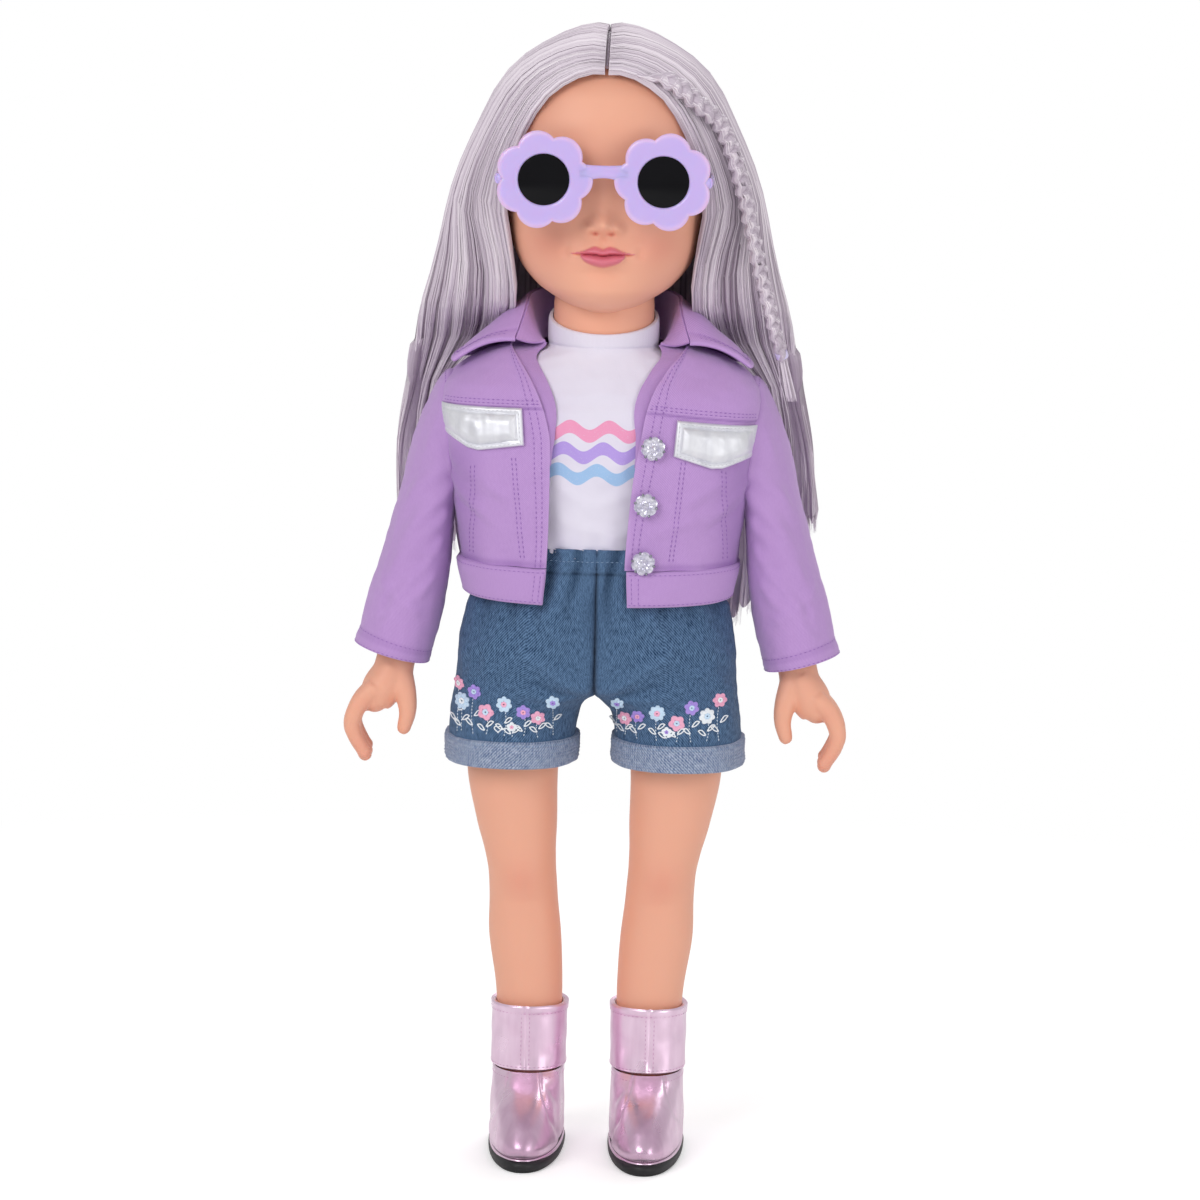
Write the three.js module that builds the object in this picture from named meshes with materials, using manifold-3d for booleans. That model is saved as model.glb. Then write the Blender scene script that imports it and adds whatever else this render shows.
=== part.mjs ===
// A 46 cm vinyl play doll in a cropped jacket, tee, denim shorts, boots and flower sunglasses.
// Millimetres, +Z up. The doll faces -Y and its own left is +X. The floor is z = 0.
import * as THREE from 'three';
import { mergeVertices } from 'three/addons/utils/BufferGeometryUtils.js';
import Module from 'manifold-3d';

const wasm = await Module();
wasm.setup();

// Gaps
const seatGap = 0.3; // between pieces that touch on the real doll
const runningGap = 0.5; // round a joint that turns

// Heights of the body above the floor
const hipHeight = 206;
const shoulderRise = 90; // hip axis to shoulder axis
const neckRise = 35; // shoulder axis to the top of the cloth torso
const chinRise = 14.5; // top of the torso to the underside of the chin
const shoulderHeight = hipHeight + shoulderRise;
const neckBase = shoulderHeight + neckRise;
const chinHeight = neckBase + chinRise;

// Cloth torso
const torsoSideFlat = 51.5; // half distance between the faces that the arms turn on
const crotchHalfWidth = 8; // the strip between the legs
const torsoPower = 2.3; // squareness of its cross-section

// Head and neck
const neckRadius = 20.3;
const headWall = 3.2;
const headPower = 2.25;
const plugPostRadius = 8;
const plugFlangeRadius = 13.5;
const plugFlangeThickness = 3;
const plugDepth = 14; // how far the post goes down into the torso

// Sleep eyes
const eyeRadius = 9.5;
const eyeSpread = 18.5;
const eyeRise = 51.5; // above the chin
const eyeSetBack = 28.5; // eye centre in front of the neck axis
const eyeSlotHalfWidth = 8.6;
const eyeSlotHalfHeight = 5.4;
const eyeAxleRadius = 1.2;
const eyeWeightRadius = 5;

// Arms
const shoulderBallRadius = 14.5;
const armholeRadius = 25;
const armholeFoot = torsoSideFlat + 6; // half distance between the armholes at their lowest point
const armholeLean = 0.13; // how far each armhole leans out per mm of height
const wristOut = torsoSideFlat + 31.5;
const wristDrop = 95; // shoulder axis to the wrist
const wristHeight = shoulderHeight - wristDrop;
const wristRadius = 8;
const fingerRadius = 3.3;
const fingerPitch = 5.4;
const fingerCount = 4;
const thumbRadius = 3.6;

// Elastic stringing
const elasticRadius = 2.2;
const knotRadius = 4.5;
const cupRadius = 8;
const cupThickness = 2.5;
const limbFaceWall = 3; // vinyl between a limb's turning face and its cup
const cupRoom = 9; // depth of the pocket that holds the cup and the knot

// Legs
const hipSpread = 29;
const hipBallRadius = 19.5;
const legSwingBack = 15; // degrees the thigh can go back
const ankleSpread = 24.5;

// Boots
const bootHeight = 60;
const bootSeamHeight = 33;
const soleThickness = 5;
const bootWall = 1.4;
const bootHalfWidth = 15;
const toeReach = 57;
const heelReach = 21;
const toeRoom = 3; // between the toes and the boot
const soleWelt = 1.3; // how far the sole stands out
const tabHeight = 12;
const tabHalfWidth = 7;

// Clothes
const teeWall = 1.4;
const teeHem = hipHeight + 41;
const teeBandWall = 1.5;
const teeBandTop = neckBase + 16;
const teeBandDip = 7; // the band is lower in front
const jacketWall = 1.7;
const jacketHem = hipHeight + 25;
const hemDroop = 2.5; // the hem hangs lower in front
const waistbandHeight = 13.5;
const waistbandWall = 2.4;
const sideSeam = 3; // the front and back panels meet on this Y
const collarWall = 1.6;
const sleeveWall = 1.6;
const sleeveDrop = 97; // shoulder axis to the lowest point of the sleeve's hem
const flapWidth = 30;
const flapSide = 13;
const flapPoint = 19; // length to the flap's point
const flapWall = 1.5;
const flapTop = shoulderHeight + 10;
const buttonRadius = 5;
const buttonThickness = 3.2;
const buttonHeights = [62, 39, 15].map((rise) => jacketHem + rise);
const buttonOut = [23, 20.7, 20];
const buttonLift = 1.6;
const shortsWall = 1.5;
const shortsTop = hipHeight + 45;
const shortsSplit = hipHeight - 9; // the seat ends and the legs of the shorts begin
const cuffTop = shortsSplit - 24.5;
const cuffHeight = 11.5;
const cuffWall = 3;
const waistElasticHeight = 10;

// Sunglasses
const lensSpread = 24.2;
const lensRadius = 10.8;
const petalReach = 20;
const petalCount = 7;
const frameThickness = 2.6;
const frameGap = 13.9; // from the front of the eyes to the back of the frame
const frameFront = eyeSetBack + eyeRadius + frameGap + frameThickness;
const bridgeHalfHeight = 2.6;
const templeGap = 1.4; // between the head and the frame's arms
const templeThickness = 2;
const templeHalfHeight = 2.4;
const templeEnd = 8; // the arms end this far behind the neck axis
const glassesRise = 53; // above the chin

// Hair
const hairGap = 2.4; // between the scalp and the sheath of hair
const braidRadius = 3.6;
const hairFoot = chinHeight - 5; // the sheath ends and the falls begin
const hairTop = chinHeight + 114.5;
const hairLength = 134.2; // from there to the tips at the back
const fallLength = 84.2; // and at the sides
const lockGroove = 1.7; // depth of the grooves between locks
const lockTip = 9; // how much further a lock reaches than the hair beside it
const collarRoom = 48.5; // the sheath stays outside this radius near the collar

const skin = { color: 0xeeb193, roughness: 0.45, metalness: 0 };
const hairFibre = { color: 0xbdb0c0, roughness: 0.35, metalness: 0 };
const lilacTwill = { color: 0xa87bc4, roughness: 0.85, metalness: 0 };
const whiteJersey = { color: 0xeeeaf5, roughness: 0.9, metalness: 0 };
const denim = { color: 0x46688c, roughness: 0.9, metalness: 0 };
const denimReverse = { color: 0x7f93b2, roughness: 0.9, metalness: 0 };
const silverFoil = { color: 0xd8d8de, roughness: 0.25, metalness: 0.9 };
const pinkFoil = { color: 0xd9a6cf, roughness: 0.25, metalness: 0.8 };
const blackRubber = { color: 0x141416, roughness: 0.6, metalness: 0 };
const lilacPlastic = { color: 0xc9b6ea, roughness: 0.3, metalness: 0 };
const darkLens = { color: 0x0a0a12, roughness: 0.08, metalness: 0 };
const clearJewel = { color: 0xe6e6ee, roughness: 0.08, metalness: 0.3 };
const whitePlastic = { color: 0xf2f0ec, roughness: 0.4, metalness: 0 };
const eyePlastic = { color: 0xf6f3ef, roughness: 0.15, metalness: 0 };
const bodyCloth = { color: 0xe9bda2, roughness: 0.95, metalness: 0 };
const steel = { color: 0x8d8f94, roughness: 0.35, metalness: 0.9 };

// A closed geometry as a solid, with its faces turned out.
function solid(geometry) {
  const bare = new THREE.BufferGeometry();
  bare.setAttribute('position', geometry.getAttribute('position'));
  if (geometry.index) bare.setIndex(geometry.index);
  const merged = mergeVertices(bare, 1e-3);
  const triVerts = new Uint32Array(merged.index.array);
  const vertProperties = merged.attributes.position.array;
  const build = () => new wasm.Manifold(new wasm.Mesh({ numProp: 3, vertProperties, triVerts }));
  const made = build();
  if (made.volume() > 0) return made;
  for (let i = 0; i < triVerts.length; i += 3) {
    [triVerts[i + 1], triVerts[i + 2]] = [triVerts[i + 2], triVerts[i + 1]];
  }
  return build();
}

// A solid back as a three.js geometry with flat-shaded normals.
function geometryOf(manifold) {
  const mesh = manifold.getMesh();
  const geometry = new THREE.BufferGeometry();
  geometry.setAttribute('position', new THREE.BufferAttribute(new Float32Array(mesh.vertProperties), 3));
  geometry.setIndex(new THREE.BufferAttribute(new Uint32Array(mesh.triVerts), 1));
  geometry.computeVertexNormals();
  return geometry;
}

const union = (...solids) => solids.reduce((a, b) => a.add(b));

// Values that pass smoothly through stations, each written [position, value, value, ...].
function smooth(stations) {
  const slope = (i, k) => {
    if (i === 0 || i === stations.length - 1) return 0;
    const before = (stations[i][k] - stations[i - 1][k]) / (stations[i][0] - stations[i - 1][0]);
    const after = (stations[i + 1][k] - stations[i][k]) / (stations[i + 1][0] - stations[i][0]);
    return before * after <= 0 ? 0 : (2 * before * after) / (before + after);
  };
  return (at) => {
    const last = stations.length - 2;
    const found = stations.findIndex((s) => s[0] > at) - 1;
    const i = found < -1 ? last : Math.max(0, found);
    const [from, to] = [stations[i], stations[i + 1]];
    const span = to[0] - from[0];
    const t = THREE.MathUtils.clamp((at - from[0]) / span, 0, 1);
    return from.slice(1).map((value, n) => {
      const k = n + 1;
      const [h1, h2] = [t * t * (3 - 2 * t), t * (1 - t) * (1 - t)];
      return value + (to[k] - value) * h1 + span * (slope(i, k) * h2 - slope(i + 1, k) * t * t * (1 - t));
    });
  };
}

// A cross-section point: an oval with its own half width, reach forwards and reach back.
function oval(angle, halfWidth, front, back, power = 2) {
  const [c, s] = [Math.cos(angle), Math.sin(angle)];
  const bend = (v) => Math.sign(v) * Math.abs(v) ** (2 / power);
  return new THREE.Vector3(halfWidth * bend(c), (s < 0 ? front : back) * bend(s), 0);
}

// A solid skinned over rings: ringAt(t, angle) gives the ring's point and centreAt(t) its centre,
// with t from 0 to 1.
function loft(steps, around, ringAt, centreAt) {
  const geometry = new THREE.CylinderGeometry(1, 1, 1, around, steps);
  const place = geometry.getAttribute('position');
  for (let i = 0; i < place.count; i += 1) {
    const [x, y, z] = [place.getX(i), place.getY(i), place.getZ(i)];
    const t = y + 0.5;
    const point = Math.hypot(x, z) < 0.5 ? centreAt(t) : ringAt(t, Math.atan2(z, x));
    place.setXYZ(i, point.x, point.y, point.z);
  }
  return solid(geometry);
}

// A loft of level ovals: shape(z) gives [halfWidth, front, back], and grow makes each larger all round.
function column(shape, levels, around, { grow = 0, power = 2, centreX = () => 0 } = {}) {
  const steps = levels.length - 1;
  const level = (t) => levels[Math.round(t * steps)];
  const at = (t) => new THREE.Vector3(centreX(level(t)), 0, level(t));
  return loft(steps, around, (t, angle) => {
    const [w, f, b] = shape(level(t));
    return oval(angle, w + grow, f + grow, b + grow, power).add(at(t));
  }, at);
}

// Heights from low to high in equal steps
const even = (low, high, steps) =>
  Array.from({ length: steps + 1 }, (_, i) => low + ((high - low) * i) / steps);

// The heights of a list that lie between low and high, with both ends added
const within = (levels, low, high) => [low, ...levels.filter((z) => z > low + 1 && z < high - 1), high];

// A shell: a column grown by outer with a column grown by inner taken out of it, open at both ends
function tube(shape, levels, around, outer, inner, options = {}) {
  const open = [levels[0] - 3, ...levels, levels[levels.length - 1] + 3];
  return column(shape, levels, around, { ...options, grow: outer })
    .subtract(column(shape, open, around, { ...options, grow: inner }));
}

// A curved sheet with a thickness: point(u, v, w) with u and v from 0 to 1 along the sheet and w through it.
function sheet(along, across, point) {
  const geometry = new THREE.BoxGeometry(1, 1, 1, along, across, 1);
  const place = geometry.getAttribute('position');
  for (let i = 0; i < place.count; i += 1) {
    const p = point(place.getX(i) + 0.5, place.getY(i) + 0.5, place.getZ(i) + 0.5);
    place.setXYZ(i, p.x, p.y, p.z);
  }
  return solid(geometry);
}

// A tapered tube with rounded ends along a curve through points [x, y, z, radius].
function limb(points, steps, around) {
  const curve = new THREE.CatmullRomCurve3(points.map((p) => new THREE.Vector3(p[0], p[1], p[2])));
  const radii = smooth(points.map((p, i) => [i / (points.length - 1), p[3]]));
  const frames = curve.computeFrenetFrames(steps, false);
  const radiusAt = (t) => radii(t)[0];
  const nearestFrame = (t) => Math.round(t * steps);
  const tube = loft(steps, around, (t, angle) => {
    const i = nearestFrame(t);
    const out = frames.normals[i].clone().multiplyScalar(Math.cos(angle));
    out.addScaledVector(frames.binormals[i], Math.sin(angle));
    return curve.getPoint(i / steps).addScaledVector(out, radiusAt(i / steps));
  }, (t) => curve.getPoint(nearestFrame(t) / steps));
  const ball = (p) => solid(new THREE.SphereGeometry(p[3], around, around / 2).translate(p[0], p[1], p[2]));
  return union(tube, ball(points[points.length - 1]));
}

// A turned solid about the X axis: profile points are [radius, x].
function turnedAlongX(profile, around, z) {
  const points = profile.map(([r, x]) => new THREE.Vector2(r, x));
  return solid(new THREE.LatheGeometry(points, around).rotateZ(-Math.PI / 2).translate(0, 0, z));
}

// A plain rod along X from a to b
const rodX = (radius, a, b, around, z) =>
  turnedAlongX([[0, a], [radius, a], [radius, b], [0, b]], around, z);

// A turned solid about the Z axis: profile points are [radius, z].
function turnedAlongZ(profile, around) {
  const points = profile.map(([r, z]) => new THREE.Vector2(r, z));
  return solid(new THREE.LatheGeometry(points, around).rotateX(Math.PI / 2));
}

// A plain rod along Z from low to high
const rodZ = (radius, low, high, around) =>
  turnedAlongZ([[0, low], [radius, low], [radius, high], [0, high]], around);

function block(low, high) {
  const size = high.map((v, i) => v - low[i]);
  const middle = high.map((v, i) => (v + low[i]) / 2);
  return solid(new THREE.BoxGeometry(...size).translate(...middle));
}

// A flat outline in X and Z, given as [x, z] points, made solid between two Y values.
function plateXZ(shape, nearY, farY) {
  const options = { depth: farY - nearY, bevelEnabled: false, curveSegments: 5 };
  const geometry = new THREE.ExtrudeGeometry(shape, options);
  return solid(geometry.rotateX(Math.PI / 2).translate(0, farY, 0));
}

// A flat outline in Y and Z made solid between two X values.
function plateYZ(shape, lowX, highX) {
  const options = { depth: highX - lowX, bevelEnabled: false, curveSegments: 8 };
  const geometry = new THREE.ExtrudeGeometry(shape, options);
  const [x, y, z] = [new THREE.Vector3(1, 0, 0), new THREE.Vector3(0, 1, 0), new THREE.Vector3(0, 0, 1)];
  return solid(geometry.applyMatrix4(new THREE.Matrix4().makeBasis(y, z, x)).translate(lowX, 0, 0));
}

// Two X values that are given for the doll's left side, low before high, on either side
const between = (side, near, far) => (side > 0 ? [near, far] : [-far, -near]);

const outline = (points) => new THREE.Shape(points.map(([x, z]) => new THREE.Vector2(x, z)));

const doll = new THREE.Group();
function add(name, finish, manifold) {
  const mesh = new THREE.Mesh(geometryOf(manifold), new THREE.MeshStandardMaterial(finish));
  mesh.name = name;
  doll.add(mesh);
  return manifold;
}

// The torso's half width, front and back by height
const torsoShape = smooth([
  [hipHeight - 8.5, 20, 13, 14],
  [hipHeight - 3, 38, 21, 23],
  [hipHeight + 6, 46, 27, 29],
  [hipHeight + 20, 48.5, 30.3, 31],
  [hipHeight + 37, 45.5, 29.8, 29.5],
  [hipHeight + 56, 46.5, 31.5, 30],
  [shoulderHeight - 14, 51, 34, 32],
  [shoulderHeight + 0.115 * neckRise, 53, 33, 32],
  [shoulderHeight + 0.457 * neckRise, 50, 29, 29.5],
  [shoulderHeight + 0.686 * neckRise, 41, 25, 26],
  [neckBase - 0.13 * neckRise, neckRadius + 8.7, neckRadius + 1.2, neckRadius + 2.2],
  [neckBase, neckRadius, neckRadius, neckRadius],
]);
const torsoLevels = [
  ...[-8.5, -3, 7, 20, 37, 56].map((rise) => hipHeight + rise),
  ...[-13, 0.115 * neckRise, 0.457 * neckRise, 0.714 * neckRise].map((rise) => shoulderHeight + rise),
  neckBase - seatGap,
];

// Room for one thigh to swing from straight ahead to a little behind the torso
function thighRoom(side) {
  const reach = hipBallRadius + runningGap;
  const back = THREE.MathUtils.degToRad(legSwingBack);
  const far = 80;
  const shape = new THREE.Shape();
  shape.moveTo(-far, reach);
  shape.lineTo(0, reach);
  shape.absarc(0, 0, reach, Math.PI / 2, back, true);
  shape.lineTo(reach * Math.cos(back) + far * Math.sin(back), reach * Math.sin(back) - far * Math.cos(back));
  shape.lineTo(-far, -far);
  return plateYZ(shape, ...between(side, crotchHalfWidth, 70)).translate([0, 0, hipHeight]);
}

function makeTorso() {
  let torso = column(torsoShape, torsoLevels, 24, { power: torsoPower });
  torso = torso.intersect(block([-torsoSideFlat, -80, 0], [torsoSideFlat, 80, 500]));
  torso = torso.subtract(thighRoom(1)).subtract(thighRoom(-1));
  torso = torso.subtract(rodX(elasticRadius + seatGap, -60, 60, 10, shoulderHeight));
  torso = torso.subtract(rodX(elasticRadius + seatGap, -60, 60, 10, hipHeight));
  torso = torso.subtract(rodZ(plugPostRadius + seatGap, neckBase - plugDepth - seatGap, neckBase + 5, 16));
  add('torso', bodyCloth, torso);
}

// The mushroom plug that the head turns on
function makeNeckPlug() {
  const top = neckBase + headWall + seatGap;
  add('neck_plug', whitePlastic, turnedAlongZ([
    [0, neckBase - plugDepth], [plugPostRadius, neckBase - plugDepth], [plugPostRadius, top],
    [plugFlangeRadius, top], [plugFlangeRadius - 2, top + plugFlangeThickness],
    [0, top + plugFlangeThickness],
  ], 20));
}

// An elastic with a knot in each limb, and the cup that each knot pulls on
function makeStringing(name, halfSpan, height) {
  const face = halfSpan + runningGap + limbFaceWall + seatGap;
  const cupOut = face + cupThickness;
  const knot = cupOut + seatGap;
  const end = knot + 3.2;
  const profile = [
    [0, -end], [knotRadius, -end], [knotRadius, -knot], [elasticRadius, -knot],
    [elasticRadius, knot], [knotRadius, knot], [knotRadius, end], [0, end],
  ];
  add(`${name}_elastic`, whitePlastic, turnedAlongX(profile, 12, height));
  const bore = elasticRadius + seatGap;
  const limbName = name === 'shoulder' ? 'arm' : 'leg';
  for (const side of [-1, 1]) {
    const [a, b] = between(side, face, cupOut);
    const cup = turnedAlongX([[bore, a], [cupRadius, a], [cupRadius, b], [bore, b], [bore, a]], 16, height);
    add(`${side > 0 ? 'left' : 'right'}_${limbName}_cup`, whitePlastic, cup);
  }
}

// The pocket in a limb's turning face: a neck for the elastic, then room for the cup
function cupPocket(side, halfSpan, height) {
  const face = halfSpan + runningGap;
  const bore = elasticRadius + seatGap;
  const room = cupRadius + seatGap;
  const inner = face + limbFaceWall;
  const end = inner + cupRoom;
  const profile = [[0, face - 1], [bore, face - 1], [bore, inner], [room, inner], [room, end], [0, end]];
  return turnedAlongX(profile.map(([r, x]) => [r, side * x]), 16, height);
}

// The head's half width, front and back by height above the chin
const headShape = smooth([
  [0, 8, 24, 12],
  [2.5, 15, 31, 15],
  [5.5, 20.5, 35, 18],
  [10.5, 27.6, 37.8, 22],
  [20, 35, 39, 29],
  [29, 38.4, 39.6, 35.5],
  [38, 40, 40.2, 42],
  [50, 42, 42, 47.5],
  [60, 42.9, 44.2, 50],
  [74, 43.2, 46, 49.5],
  [86, 39.8, 43, 44.5],
  [96, 32.5, 35.5, 36.5],
  [103, 22.5, 25, 25.5],
  [107, 11, 12.5, 12.5],
  [108, 4, 4.5, 4.5],
]);
const crownRise = 108;

// Soft bumps of the face, each [x, rise above the chin, width, height, how far it stands forwards]
const faceBumps = [
  [0, 32.6, 3.4, 3.4, 7.4], // nose tip
  [0, 41, 2.8, 8, 3], // nose bridge
  [-4, 30.8, 2.2, 2.2, 2.4], // nostrils
  [4, 30.8, 2.2, 2.2, 2.4],
  [0, 23.6, 6.4, 1.7, 2.6], // upper lip
  [0, 18.8, 5.4, 2, 2.9], // lower lip
  [0, 21.3, 8.5, 0.9, -1.2], // mouth line
  [0, 8.5, 7, 5, 2], // chin
  [-17, 24, 9, 9, 1.6], // cheeks
  [17, 24, 9, 9, 1.6],
  [-eyeSpread, eyeRise, 8, 6, -2.2], // eye sockets
  [eyeSpread, eyeRise, 8, 6, -2.2],
];

function faceRelief(x, rise) {
  return faceBumps.reduce((sum, [cx, cz, w, h, out]) =>
    sum + out * Math.exp(-(((x - cx) / w) ** 2) - ((rise - cz) / h) ** 2), 0);
}

// The skull and face as one closed form; offset grows it, and relief turns the face's bumps on
function headForm(offset, steps, around, relief) {
  const geometry = new THREE.SphereGeometry(1, around, steps);
  const place = geometry.getAttribute('position');
  for (let i = 0; i < place.count; i += 1) {
    const up = place.getY(i);
    const flat = Math.hypot(place.getX(i), place.getZ(i));
    const rise = crownRise * (0.5 + Math.asin(THREE.MathUtils.clamp(up, -1, 1)) / Math.PI);
    const [w, f, b] = headShape(rise);
    const edge = flat < 1e-6 ? 0 : 1;
    const angle = Math.atan2(place.getZ(i), place.getX(i));
    const p = oval(angle, edge * (w + offset), edge * (f + offset), edge * (b + offset), headPower);
    if (relief) p.y -= faceRelief(p.x, rise) * THREE.MathUtils.clamp(-p.y / 12, 0, 1);
    const stretch = offset * (2 * rise / crownRise - 1);
    const centre = edge ? 0 : (rise < 1 ? -8 : 0);
    place.setXYZ(i, p.x, p.y + centre, chinHeight + rise + stretch);
  }
  return solid(geometry);
}

function ear(side, grow = 0) {
  const form = new THREE.SphereGeometry(1, 9, 6).scale(3.4 + grow, 4.6 + grow, 8 + grow);
  form.rotateX(-0.2).rotateZ(side * 0.3).translate(side * 40.8, 6, chinHeight + 35);
  return solid(form);
}

// The almond opening in front of each eye
function eyeSlot(side) {
  const shape = new THREE.Shape();
  shape.absellipse(side * eyeSpread, 0, eyeSlotHalfWidth, eyeSlotHalfHeight, 0, 2 * Math.PI);
  const geometry = new THREE.ExtrudeGeometry(shape, { depth: 40, bevelEnabled: false, curveSegments: 8 });
  return solid(geometry.rotateX(Math.PI / 2).translate(0, -eyeSetBack + 6, chinHeight + eyeRise));
}

function makeHead() {
  const neckTop = chinHeight + 16;
  const floorTop = neckBase + headWall;
  const neck = rodZ(neckRadius, neckBase, neckTop, 24);
  let head = union(headForm(0, 20, 28, true), neck, ear(-1), ear(1));
  head = head.subtract(headForm(-headWall, 8, 16, false));
  head = head.subtract(rodZ(neckRadius - headWall, floorTop, neckTop + 4, 16));
  head = head.subtract(rodZ(plugPostRadius + runningGap, neckBase - 2, floorTop + 2, 16));
  for (const side of [-1, 1]) {
    const room = new THREE.SphereGeometry(eyeRadius + runningGap, 14, 10);
    room.translate(side * eyeSpread, -eyeSetBack, chinHeight + eyeRise);
    head = head.subtract(solid(room)).subtract(eyeSlot(side));
  }
  add('head', skin, head);
}

function makeEyes() {
  const z = chinHeight + eyeRise;
  const [weightY, weightZ] = [14, -17];
  const halfLength = eyeSpread + eyeRadius - 0.1;
  const axle = rodX(eyeAxleRadius, -halfLength, halfLength, 8, 0);
  const slant = THREE.MathUtils.radToDeg(Math.atan2(weightZ, weightY));
  const stem = block([-1.2, 0, -1], [1.2, Math.hypot(weightY, weightZ), 1]).rotate([slant, 0, 0]);
  const weight = rodX(eyeWeightRadius, -6, 6, 12, weightZ).translate([0, weightY, 0]);
  add('eye_rocker', steel, union(axle, stem, weight).translate([0, -eyeSetBack, z]));
  for (const side of [-1, 1]) {
    const ball = solid(new THREE.SphereGeometry(eyeRadius, 12, 9).rotateZ(Math.PI / 2));
    const eye = ball.subtract(rodX(eyeAxleRadius + seatGap, -20, 20, 8, 0));
    add(`${side > 0 ? 'left' : 'right'}_eye`, eyePlastic, eye.translate([side * eyeSpread, -eyeSetBack, z]));
  }
}

// A flower outline of round petals about a centre
function flowerPoints(cx, cz, reach, count, turn, steps) {
  const points = [];
  const petal = reach * 0.42;
  const out = reach - petal;
  for (let i = 0; i < count; i += 1) {
    const middle = turn + (i / count) * 2 * Math.PI;
    const half = Math.PI / 2 - 0.08;
    for (let k = 0; k < steps; k += 1) {
      const a = middle - half + (2 * half * (k + 0.5)) / steps;
      const [px, pz] = [cx + out * Math.cos(middle), cz + out * Math.sin(middle)];
      points.push([px + petal * Math.cos(a), pz + petal * Math.sin(a)]);
    }
  }
  return points;
}

// The inner faces of the frame's arms, beside the head
const templeInner = headShape(glassesRise)[0] + templeGap;

function makeSunglasses() {
  const z = chinHeight + glassesRise;
  const [near, far] = [-frameFront, -frameFront + frameThickness];
  const rims = [-1, 1].map((side) => {
    const turn = side > 0 ? Math.PI : 0;
    const points = flowerPoints(side * lensSpread, 0, petalReach, petalCount, turn, 5);
    return plateXZ(outline(points), near, far);
  });
  const bridge = block([-8, near + 0.2, -bridgeHalfHeight], [8, far - 0.2, bridgeHalfHeight]);
  const temples = [-1, 1].map((side) => {
    const [a, b] = between(side, templeInner, templeInner + templeThickness);
    const arm = block([a, near + 0.4, -templeHalfHeight], [b, templeEnd, templeHalfHeight]);
    const [c, d] = between(side, templeInner - 4, templeInner + templeThickness);
    return union(arm, block([c, near + 0.4, -templeHalfHeight], [d, far, templeHalfHeight]));
  });
  let frame = union(...rims, bridge, ...temples);
  for (const side of [-1, 1]) {
    const disc = (radius, thickness) => new THREE.CylinderGeometry(radius, radius, thickness, 20);
    const hole = disc(lensRadius + seatGap, frameThickness + 4);
    frame = frame.subtract(solid(hole.translate(side * lensSpread, (near + far) / 2, 0)));
    const glass = disc(lensRadius, 1.5).translate(side * lensSpread, near + 1.6, z);
    add(`${side > 0 ? 'left' : 'right'}_lens`, darkLens, solid(glass));
  }
  add('sunglasses_frame', lilacPlastic, frame.translate([0, 0, z]));
}

// The sheath of hair over the skull, by height above the chin: half width, front, back
const crownShape = smooth([
  [-5, 75, 8, 53],
  [7.5, 71, 13, 55],
  [29.5, 66, 24, 56.8],
  [49.5, 61.3, 36, 57.9],
  [66.5, 55, 46, 56.8],
  [82, 48, 50, 53],
  [93, 41.5, 46, 47.5],
  [103, 30.5, 35, 37],
  [110, 18, 21, 23],
  [114.5, 7, 8, 9],
]);

const crownRises = [7.5, 19.5, 34.5, 49.5, 60.5, 71.5, 81.5, 91.5, 100.5, 108.5];
const crownLevels = [hairFoot, ...crownRises.map((rise) => chinHeight + rise), hairTop];

// The window in the hair that the face looks out of
function faceWindow() {
  const shape = new THREE.Shape();
  shape.moveTo(-50, -20);
  shape.lineTo(-47, 40);
  shape.bezierCurveTo(-44, 64, -27, 90, 0, 90);
  shape.bezierCurveTo(27, 90, 44, 64, 47, 40);
  shape.lineTo(50, -20);
  return plateXZ(shape, -90, 0).translate([0, 0, chinHeight]);
}

function makeHairCrown() {
  const shape = (z) => crownShape(z - chinHeight);
  let crown = column(shape, crownLevels, 26, { power: 2.1 });
  crown = crown.subtract(headForm(hairGap, 11, 20, false)).subtract(faceWindow());
  crown = crown.subtract(rodZ(collarRoom, hairFoot - 5, chinHeight + 9.5, 20));
  const room = templeHalfHeight + 0.8;
  const z = chinHeight + glassesRise;
  for (const side of [-1, 1]) {
    const [a, b] = between(side, templeInner - 3, templeInner + templeThickness + 0.8);
    crown = crown.subtract(block([a, -90, z - room], [b, templeEnd + 1, z + room]));
    crown = crown.subtract(ear(side, 1));
  }
  add('hair_crown', hairFibre, crown);
}

// A fall of hair that hangs from the crown in locks, thinner and shorter between one lock and the next.
// Each station is [height, inner x, outer x, inner y, outer y, thickness].
function makeHairFall(name, locks, stations) {
  const shape = smooth(stations);
  const [low, high] = [stations[0][0], stations[stations.length - 1][0]];
  add(name, hairFibre, sheet(4 * locks, 8, (u, v, w) => {
    const parting = 0.5 - 0.5 * Math.cos(2 * Math.PI * locks * (u - 0.5 / locks));
    const fade = Math.min(1, 3 * (1 - v));
    const z = low + (high - low) * v + lockTip * parting * (1 - v) ** 4;
    const [innerX, outerX, innerY, outerY, thick] = shape(z);
    const y = innerY + (outerY - innerY) * u * u + lockGroove * parting * fade * (1 - 2 * w);
    return new THREE.Vector3(innerX + (outerX - innerX) * u, y + thick * w, z);
  }));
}

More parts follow.
